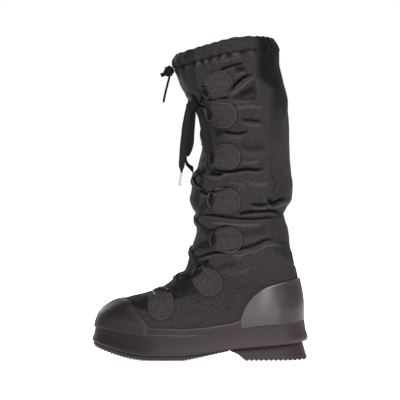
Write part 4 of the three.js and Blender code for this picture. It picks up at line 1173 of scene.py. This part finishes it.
tread = {"depth": 1.4, "across": 16}
plate = {
    "pitch": 4.3,
    "points": 641,
    "atHeel": False,
    "foot": treadAt,
    # Where it ends along the boot, by the share of its height
    "end": [(0, xAt(archEnd - 0.001)), (1, xAt(archEnd - 0.001))],
    "profile": [  # inset, share of the plate's height, pale edge as wear and painted highlight
        *[(2.2, 1, 0), (2.3, 0.9, 0), (1.3, 0.84, 0.3), (1.2, 0.7, 0.1), (1.6, 0.6, 0)],
        *[(2.4, 0.55, 0), (2.5, 0.3, 0), (2.8, 0.06, 0.1), (3.3, 0, 0)],
    ],
}
heel = {
    "pitch": 6.3,
    "points": 481,
    "atHeel": True,
    "foot": np.zeros_like,
    "end": [(0, -41.3), (0.3, -46), (0.6, -52), (0.8, -58.5), (1, xAt(archEnd))],
    "profile": [
        *[(7.5, 1, 0), (6.2, 0.8, 0), (5, 0.62, 0), (4.9, 0.6, 0), (3.5, 0.4, 0), (2.4, 0.24, 0)],
        *[(1.8, 0.2, 0.3), (1.2, 0.12, 0), (0.8, 0.03, 0.1), (1.2, 0, 0)],
    ],
}
blockPiece("outsolePlate", "outsole", plate)
blockPiece("heelBlock", "heel", heel)
print("sole made")


# The tabs' meshes, draped on the folded cloth


def tabOutline(count):
    long, wide, front = tab["length"] / 2, tab["width"] / 2, tab["frontHalf"]
    turns = np.linspace(0.05, math.pi - 0.05, 25)
    tailRound = np.stack([long - wide * (1 - np.sin(turns)), -wide * np.cos(turns)], 1)
    shoulders = [(tab["slant"] - long, wide * 0.98), (-long, front)]
    mirrored = [(x, -y) for x, y in shoulders[::-1]]
    line = np.array([*mirrored, *tailRound, *shoulders, mirrored[0]])
    return sampled(line, count, endpoint=False)


def sweep(rings, acrossPlaces, route):
    # A closed tube through the rings round a route, with its cloth places
    count, sides = len(rings), len(rings[0])
    faces = gridFaces(count, sides, closed=True)
    faces += [tuple(range(sides))[::-1], tuple((count - 1) * sides + k for k in range(sides))]
    clothPlace = np.stack([np.tile(acrossPlaces, count), np.repeat(runLengths(route), sides)], 1)
    return np.vstack(rings), faces, clothPlace * mm


def tubeMesh(route, diameter, sides):
    # A round cord or tip; its diameter may vary along it
    tangent = unit(np.gradient(route, axis=0))
    side = np.cross(tangent[0], [0.3, 0.2, 1.0])
    angle = 2 * math.pi * np.arange(sides) / sides
    rings = []
    for place, t, width in zip(route, tangent, np.broadcast_to(diameter, len(route))):
        side = unit(side - t * (side @ t))
        ring = np.cos(angle)[:, None] * side + np.sin(angle)[:, None] * np.cross(t, side)
        rings.append(place + width / 2 * ring)
    return sweep(rings, angle / 2 * np.max(diameter), route)


tabShares = [0.12, 0.24, 0.34, 0.42, 0.5, 0.58, 0.66, 0.74, 0.8, 0.85, 0.89, 0.93, 0.96, 0.985, 1]
loopSpots = [  # from the tab's front edge outwards, half width as a share, height over the cloth
    *[(-3, 0.62, 0.9), (0.6, 0.78, 1.6), (loop["reach"] * 0.5, 1, 1.7), (loop["reach"] - 1, 0.62, 2.2)],
]
loopSpots = [(a, -b, c) for a, b, c in loopSpots] + [(loop["reach"], 0, 2.7)] + loopSpots[::-1]
ringHolds = {1: [], -1: []}  # where the lace lies in each loop, by side; 1 is the outer one


def makeTab(sideName, number, centre, out, tail, across):
    n, ringCount = tab["around"], len(tabShares)
    outline = tabOutline(n)
    flat = np.vstack([outline * s for s in tabShares] + [[[0, 0]]])
    hits, outs = castOn(centre + flat[:, :1] * tail + flat[:, 1:] * across, out)
    outs = unit(mix(outs, out, 0.4))
    share = np.append(np.repeat(tabShares, n), 0)
    rise = np.sqrt(np.maximum(0, 1 - np.clip((share - 0.9) / 0.1, 0, 1) ** 2))
    radius = np.hypot(flat[:, 0] - 1, flat[:, 1])
    inside = tab["sewnRadius"] - radius
    rings = np.cos(radius / webbingFinish["ringMm"] * math.pi) ** 2 * soft(inside, 0, 2)
    hem = bell(share - 0.89, 0.02)
    lift = 0.2 + (tab["thickness"] - 0.2) * (0.12 + 0.88 * rise) + 0.12 * rings - 0.45 * hem
    points = np.vstack([hits + outs * lift[:, None], hits + outs * 0.1])
    shift, last = len(hits), (ringCount - 1) * n
    faces = gridFaces(ringCount, n, closed=True, turned=True)
    faces += gridFaces(ringCount, n, closed=True, start=shift) + joinRings(n, last, shift + last)
    for k in range(n):
        m = (k + 1) % n
        faces += [(ringCount * n, m, k), (shift + ringCount * n, shift + k, shift + m)]
    frontBand = soft(-flat[:, 0] - 9, 0, 3)
    sewn = np.clip(0.85 * soft(inside, 0, 2.5) + 0.5 * hem + 0.5 * frontBand, 0, 1)
    # painted highlight along the tab's folded border
    border = soft(share, 0.93, 0.985)
    shares = {"stitch": np.append(sewn, sewn * 0), "border": np.append(border, sewn * 0 + 1)}
    form = (points, faces, np.vstack([flat, flat]) * mm - np.array([mm, 0]))
    name, node = f"laceTab_{sideName}_{number}", f"lace_tab_{sideName}_{number}"
    addPiece(name, form, webbing, node, shares=shares)


def makeLoop(sideName, number, sign, centre, out, tail, across):
    start, half = tab["length"] / 2, loop["width"] / 2
    spots = [centre - tail * (start + a) + across * b * half for a, b, _ in loopSpots]
    hits, outs = castOn(spots, out)
    keys = hits + unit(mix(outs, out, 0.5)) * np.array([[height] for _, _, height in loopSpots])
    form = tubeMesh(smoothRoute(keys, 48), loop["cord"], 12)
    addPiece(f"laceLoop_{sideName}_{number}", form, loopCord, f"lace_ring_{sideName}_{number}")
    near, far = centre - tail * (start + 1.5), centre - tail * (start + loop["reach"] + 2)
    up = across * sign
    above, below = ([near + s * 3.4 * up, far + s * 4.6 * up] for s in (1, -1))
    ringHolds[sign].append({"out": out, "above": above, "below": below})


for sideName, sign in (("lateral", 1), ("medial", -1)):
    for number, row in enumerate(tabRows, 1):
        places = tabFrame(*row, sign)
        makeTab(sideName, number, *places)
        makeLoop(sideName, number, sign, *places)
print("tabs made")


# Flat laces: woven ribbons of one width, draped on the front or hanging from the bow

laceSize = {"width": 8, "thickness": 1.3, "section": 12}


def ribbonMesh(route, widthRun, width=laceSize["width"], cupping=0.0):
    # A flat lace with rounded edges; its width may vary along it
    tangent = unit(np.gradient(route, axis=0))
    wide = unit(widthRun - tangent * np.sum(widthRun * tangent, axis=1, keepdims=True))
    thin = np.cross(tangent, wide)
    angle = 2 * math.pi * np.arange(laceSize["section"]) / laceSize["section"]
    a = np.sign(np.cos(angle)) * np.abs(np.cos(angle)) ** 0.55
    b = np.sign(np.sin(angle)) * np.abs(np.sin(angle)) ** 0.75
    depth = b * laceSize["thickness"] / 2 + cupping * (a**2 - 0.4)
    halves = np.broadcast_to(width, len(route))[:, None, None] / 2
    rings = route[:, None] + halves * a[:, None] * wide[:, None] + depth[:, None] * thin[:, None]
    return sweep(rings, a * laceSize["width"] / 2, route)


def drapedRun(start, end, out, hump=0.0, count=60):
    # A lace on the front, from inside one loop to inside the other
    keys = [*start, *(mix(start[1], end[1], s) for s in (0.2, 0.4, 0.6, 0.8)), *end[::-1]]
    hits, outs = castOn(smoothRoute(keys, count), out, 90)
    for _ in range(3):
        outs[1:-1] = (outs[:-2] + outs[1:-1] + outs[2:]) / 3
        outs = unit(outs)
    line = hits + outs * (1 + hump * bell(np.linspace(0, 1, count) - 0.5, 0.1))[:, None]
    for _ in range(2):
        line[1:-1] = (line[:-2] + 2 * line[1:-1] + line[2:]) / 4
    return ribbonMesh(line, np.cross(outs, unit(np.gradient(line, axis=0))))


def joinForms(*forms):
    points, faces, places, shift = [], [], [], 0
    for p, f, u in forms:
        points.append(p)
        places.append(u)
        faces += [tuple(i + shift for i in face) for face in f]
        shift += len(p)
    return np.vstack(points), faces, np.vstack(places)


def crossingRun(i, sign, hump):
    a, b = ringHolds[sign][i], ringHolds[-sign][i + 1]
    out = unit(a["out"] + b["out"] + np.array([-0.6, 0, 0.1]))
    return drapedRun(a["below"], b["above"], out * [1, 0, 1], hump)


def topRun(sign):
    # From the top loop up to the knot
    inLoop, past = ringHolds[sign][0]["above"]
    foot = knotCentre + np.array([2.5, -sign * 4.0, -1])
    keys = [inLoop, past, mix(past, foot, 0.4), mix(past, foot, 0.75)]
    hits, outs = castOn(keys, np.array([-1.0, -0.9 * sign, 0.0]), 90)
    line = smoothRoute([*(hits + outs * np.array([[0.9], [2.8], [2.9], [3.0]])), foot], 40)
    normal = unit(np.linspace(outs[0], np.array([-1.0, 0, 0.1]), 40))
    return ribbonMesh(line, np.cross(normal, unit(np.gradient(line, axis=0))))


knotLow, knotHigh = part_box("lace_knot")
knotCentre = np.array((knotLow + knotHigh) / 2) / mm
for i in range(len(tabRows) - 1):
    form = joinForms(crossingRun(i, 1, 0.0), crossingRun(i, -1, 1.7))
    addPiece(f"laceCrossing_{i + 1}", form, lace, f"lace_crossing_{i + 1}")
bottomBar = drapedRun(ringHolds[1][-1]["below"], ringHolds[-1][-1]["below"], np.array([-0.5, 0, 1.0]))
addPiece("laceBottomBar", bottomBar, lace, "lace_bottom_bar")
addPiece("laceTopRun", joinForms(topRun(1), topRun(-1)), lace, "lace_top_run")


# Bow: knot, two loops and two ends with aglets. The routes are the frame's own, from the knot's centre.


def lumpMesh(centre, size, creases, columns=48, rows=30):
    # A knot: a rounded lump with creases, each given by its axis, place along it, depth and width
    points, places = [], []
    for r in range(rows + 1):
        tilt = math.pi * r / rows
        for c in range(columns):
            turn = 2 * math.pi * c / columns
            d = np.array([math.sin(tilt) * math.cos(turn), math.sin(tilt) * math.sin(turn), math.cos(tilt)])
            scale = 1 - sum(depth * bell(d @ unit(axis) - at, width) for axis, at, depth, width in creases)
            points.append(centre + d * size * scale)
            places.append((c * 0.9, r * 0.8))
    return np.array(points), gridFaces(rows + 1, columns, closed=True, turned=True), np.array(places) * mm


knot = {
    "size": np.array([8.4, 7.4, 9.0]),
    "creases": [
        ((0.2, 0.3, 1.0), 0.34, 0.16, 0.09),
        ((0.2, 0.3, 1.0), -0.36, 0.16, 0.09),
        ((1.0, -0.5, 0.2), 0.5, 0.14, 0.1),
        ((1.0, 0.6, -0.3), -0.5, 0.14, 0.1),
    ],
}
addPiece("laceKnot", lumpMesh(knotCentre, knot["size"], knot["creases"]), lace, "lace_knot")

bow = {
    "lace_loop_front": [
        *[(-2.5, -3.4, -6.9), (-8, -11.5, -20), (-10, -13.5, -34), (-10.5, -12.5, -48), (-10.5, -9, -58.5)],
        *[(-9, -2.5, -64), (-6, 3.5, -60), (-2, 6.5, -48), (-1, 6.5, -34), (0, 4.5, -20), (1, 0.5, -8.2)],
    ],
    "lace_loop_side": [
        *[(6.5, -6.2, -3.5), (11.5, -15.5, -14), (14.5, -20, -28), (17.5, -21.5, -43), (19.5, -20.5, -56)],
        *[(20.5, -18, -61), (22, -14.5, -56), (21, -14.5, -42), (18.5, -15, -27), (13.5, -11, -14)],
        (8.6, -3, -4),
    ],
    "lace_end_front": [
        *[(-4.2, -7.2, -2.2), (-6.5, -13.5, -12), (-9, -17.5, -28), (-11.5, -19, -48), (-13, -18.5, -68)],
        (-13.8, -17.5, -86),
    ],
    "lace_end_back": [
        *[(-3, 4.4, -7.8), (-4, 11, -26), (-6.5, 17, -46), (-8.5, 19.5, -64), (-7.5, 22, -73), (-2, 27, -79)],
        *[(0.5, 36, -81), (0.5, 41, -83)],
    ],
}
aglet = {
    "runs": {"front": np.array([-2.6, 1.5, -16.5]), "back": np.array([1, 13, -10.5])},
    "diameter": 3.2,
    "places": [0, 0.4, 1.2, 4, 8, 12, 15.6, 16.6, 17],
    "widths": np.array([0.86, 0.97, 1, 1, 0.98, 1, 1, 0.96, 0.84]),  # pressed in at the lace and at the tip
}

aglets = {}
for end, run in aglet["runs"].items():
    start = knotCentre + np.array(bow[f"lace_end_{end}"][-1], float) + unit(run) * 0.2
    form = tubeMesh(start + np.outer(aglet["places"], unit(run)), aglet["diameter"] * aglet["widths"], 20)
    aglets[end] = addPiece(f"agletTip_{end}", form, acetate, f"aglet_{end}")

for name, offsets in bow.items():
    fine = curveThrough(knotCentre + np.array(offsets, float))
    route, length = sampled(fine, 110), runLengths(fine)[-1]
    share = np.linspace(0, 1, len(route))
    ends = [aglets[end] for end in aglets if name == f"lace_end_{end}"]
    width = np.full(len(route), float(laceSize["width"]))
    if ends:  # it narrows into its aglet
        width = mix(width, aglet["diameter"] * 0.8, soft(share, 0.88, 1))
    wide = np.tile(np.array([1.0, 0, 0]), (len(route), 1))
    if name == "lace_end_back":  # it turns its edge to the side where it drops
        wide = mix(wide, np.array([0.25, 0.8, 0.5]), soft(share, 0.3, 0.65)[:, None])
    piece = addPiece(name.replace("lace_", "bow_"), ribbonMesh(route, wide, width, 0.35), lace, name)
print("bow made")


# Drawcord: its knot with a short stub at the front of the collar, and its long end

draw = {
    "diameter": 3.0,
    "knot": np.array([7.0, 6.2, 7.4]),
    "creases": [
        ((1.0, 0.2, 0.9), 0.3, 0.18, 0.12),
        ((1.0, 0.2, 0.9), -0.4, 0.18, 0.12),
        ((-0.7, 0.6, 0.8), 0.1, 0.16, 0.12),
    ],
    "stub": [(0, 0, 0), (-5, -3, -3.5), (-10.5, -4, -5.5)],
    "stubDiameter": 5.4,
    "end": [
        *[(0.2, -0.4, -4.2), (0.5, -1, -7.6), (-1.5, -2.5, -16), (-4, -3.5, -26), (-6, -4, -35)],
        (-7, -4.5, -41),
    ],
}
drawKnot = np.array(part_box("drawcord_knot")[1]) / mm - np.array([6.3, 6, 7])
stub = tubeMesh(smoothRoute(drawKnot + np.array(draw["stub"], float), 24), draw["stubDiameter"], 14)
form = joinForms(lumpMesh(drawKnot, draw["knot"], draw["creases"]), stub)
addPiece("drawcordKnot", form, drawCord, "drawcord_knot")
fine = curveThrough(drawKnot + np.array(draw["end"], float))
route = sampled(fine, 60)
piece = addPiece("drawcordEnd", tubeMesh(route, draw["diameter"], 16), drawCord, "drawcord_end")
runLengths(fine)[-1]
print("drawcord made")


# Floor, light and world: a plain pale studio


# Seamless paper: matt and smooth, lit from below too, so that no shadow greys it
def plainPaper():
    material, tree = startMaterial("paperSweep")
    glow = {"Emission Color": linear("ffffff"), "Emission Strength": 1.0}
    return finishMaterial(material, unevenColour(tree, "f4f4f4", "f8f8f8", 300), 0.9, more=glow)


floorHalf = 6  # metres
floorCorners = [(x * floorHalf, y * floorHalf, -0.0005) for x, y in ((-1, -1), (1, -1), (1, 1), (-1, 1))]
floorMesh = bpy.data.meshes.new("studioFloor")
floorMesh.from_pydata(floorCorners, [], [(0, 1, 2, 3)])
floorMesh.materials.append(plainPaper())
floor = bpy.data.objects.new("studioFloor", floorMesh)
bpy.context.scene.collection.objects.link(floor)

bpy.context.scene.view_settings.view_transform = "Standard"  # white paper stays white
world = bpy.data.worlds.new("studioWorld")
bpy.context.scene.world = world
world.use_nodes = True
sky = world.node_tree
seen = addNode(sky, "LightPath").outputs["Is Camera Ray"]  # the sky is white, but the lamps do the lighting
glow = addNode(sky, "MapRange", {"Value": seen, "To Min": 0.15, "To Max": 1.0})
feed(sky.nodes["Background"], {"Strength": glow, "Color": (1, 1, 1, 1)})

lights = {
    # kind, place, width in degrees or metres, strength
    "overheadSoft": ("SUN", (0.25, -1.4, 1.75), 50, 3.4),
    "frontSoft": ("AREA", (0.1, -2.9, 0.3), 0.4, 10),
    "glossSoft": ("AREA", (-0.45, -2.3, 1.25), 0.6, 2),
    "leftRimSoft": ("AREA", (-1.7, 1.7, 1.0), 0.9, 17),
    "rightRimSoft": ("AREA", (1.9, 1.1, 0.9), 0.8, 2.5),
    "backSoft": ("SUN", (0.4, 1.8, 1.7), 60, 0.8),
}
for name, (kind, place, width, strength) in lights.items():
    data = bpy.data.lights.new(name, kind)
    if kind == "SUN":
        data.angle = math.radians(width)
    else:
        data.size = width
    data.energy = strength
    lamp = bpy.data.objects.new(name, data)
    lamp.location = place
    aim = Vector((-0.1, 0, 0.2)) - Vector(place)
    lamp.rotation_euler = aim.to_track_quat("-Z", "Y").to_euler()
    bpy.context.scene.collection.objects.link(lamp)
